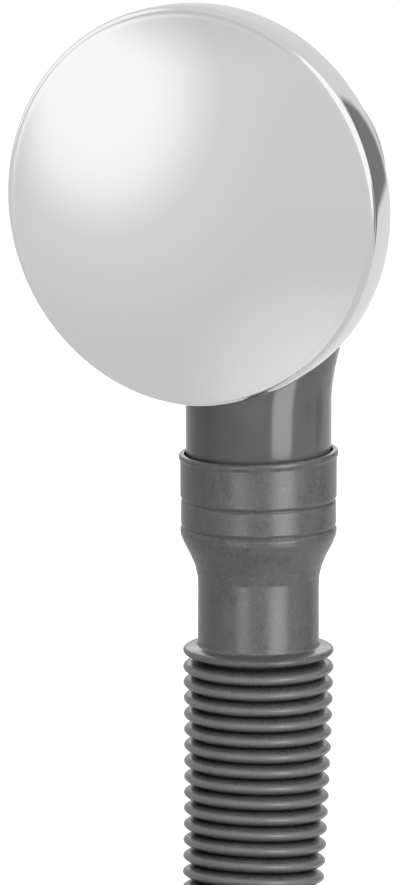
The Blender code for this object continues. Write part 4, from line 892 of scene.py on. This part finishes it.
def makeWorld():
    # Brightness seen by gloss = a level that falls below the horizon, then each soft spot laid over it
    world = bpy.data.worlds.new("studio")
    bpy.context.scene.world = world
    world.use_nodes = True
    tree = world.node_tree
    tree.nodes.clear()
    place = addNode(tree, "TexCoord").outputs["Generated"]
    height = addNode(tree, "SeparateXYZ", {"Vector": place}).outputs["Z"]
    limits = {"Value": height, **studioLevel}
    level = addNode(tree, "MapRange", limits, interpolation_type="SMOOTHSTEP").outputs["Result"]
    for azimuth, elevation, near, far, bright in studioSpots:
        vectors = {0: place, 1: direction(azimuth, elevation)}
        cosine = addNode(tree, "VectorMath", vectors, operation="DOT_PRODUCT").outputs["Value"]
        gone, full = math.cos(math.radians(far)), math.cos(math.radians(near))
        limits = {"Value": cosine, "From Min": gone, "From Max": full}
        spot = addNode(tree, "MapRange", limits, interpolation_type="SMOOTHSTEP").outputs["Result"]
        level = addNode(tree, "Mix", {0: spot, 2: level, 3: bright}).outputs[0]
    rays = addNode(tree, "LightPath").outputs
    mirrorRays = {0: rays["Is Glossy Ray"], 1: rays["Is Transmission Ray"]}
    gloss = addNode(tree, "Math", mirrorRays, operation="MAXIMUM").outputs[0]
    plain, mirrored, white = [
        addNode(tree, "Background", {"Color": grey(1), "Strength": strength}).outputs[0]
        for strength in (plainStrength, level, cameraStrength)
    ]
    unseen = addNode(tree, "MixShader", {0: gloss, 1: plain, 2: mirrored}).outputs[0]
    seen = addNode(tree, "MixShader", {0: rays["Is Camera Ray"], 1: unseen, 2: white}).outputs[0]
    addNode(tree, "OutputWorld", {"Surface": seen})


# The photograph is 400 x 885; knobPixel is where the knob's middle lies in it. The sensor is in millimetres
cameraSizes = dict(azimuth=25, elevation=11, distance=2.5, focalPixels=13850, knobPixel=(188.0, 207.8),
                   sensor=36, width=400, height=885, knob=(0, -0.0144, 0), near=0.05, far=50)


def makeCamera(view=cameraSizes):
    # It looks along its azimuth and elevation past the knob, so that the knob lies at its own pixel
    back = direction(view["azimuth"], view["elevation"])
    right = direction(view["azimuth"] + 90, 0)
    up = back.cross(right)
    perPixel = view["distance"] / view["focalPixels"]
    across = (view["width"] / 2 - view["knobPixel"][0]) * perPixel
    down = (view["height"] / 2 - view["knobPixel"][1]) * perPixel
    target = Vector(view["knob"]) + right * across - up * down
    data = bpy.data.cameras.new("camera")
    data.sensor_fit = "AUTO"
    data.sensor_width = view["sensor"]
    data.lens = view["focalPixels"] / view["height"] * view["sensor"]
    data.clip_start, data.clip_end = view["near"], view["far"]
    camera = bpy.data.objects.new("camera", data)
    camera.location = target + back * view["distance"]
    camera.rotation_euler = back.to_track_quat("Z", "Y").to_euler()
    bpy.context.scene.collection.objects.link(camera)
    bpy.context.scene.camera = camera


makeFloor()
makeWorld()
for lampName, lampSizes in lamps.items():
    addLamp(lampName, lampSizes)
makeCamera()
bpy.context.scene.view_settings.view_transform = "Standard"
print("studio made")
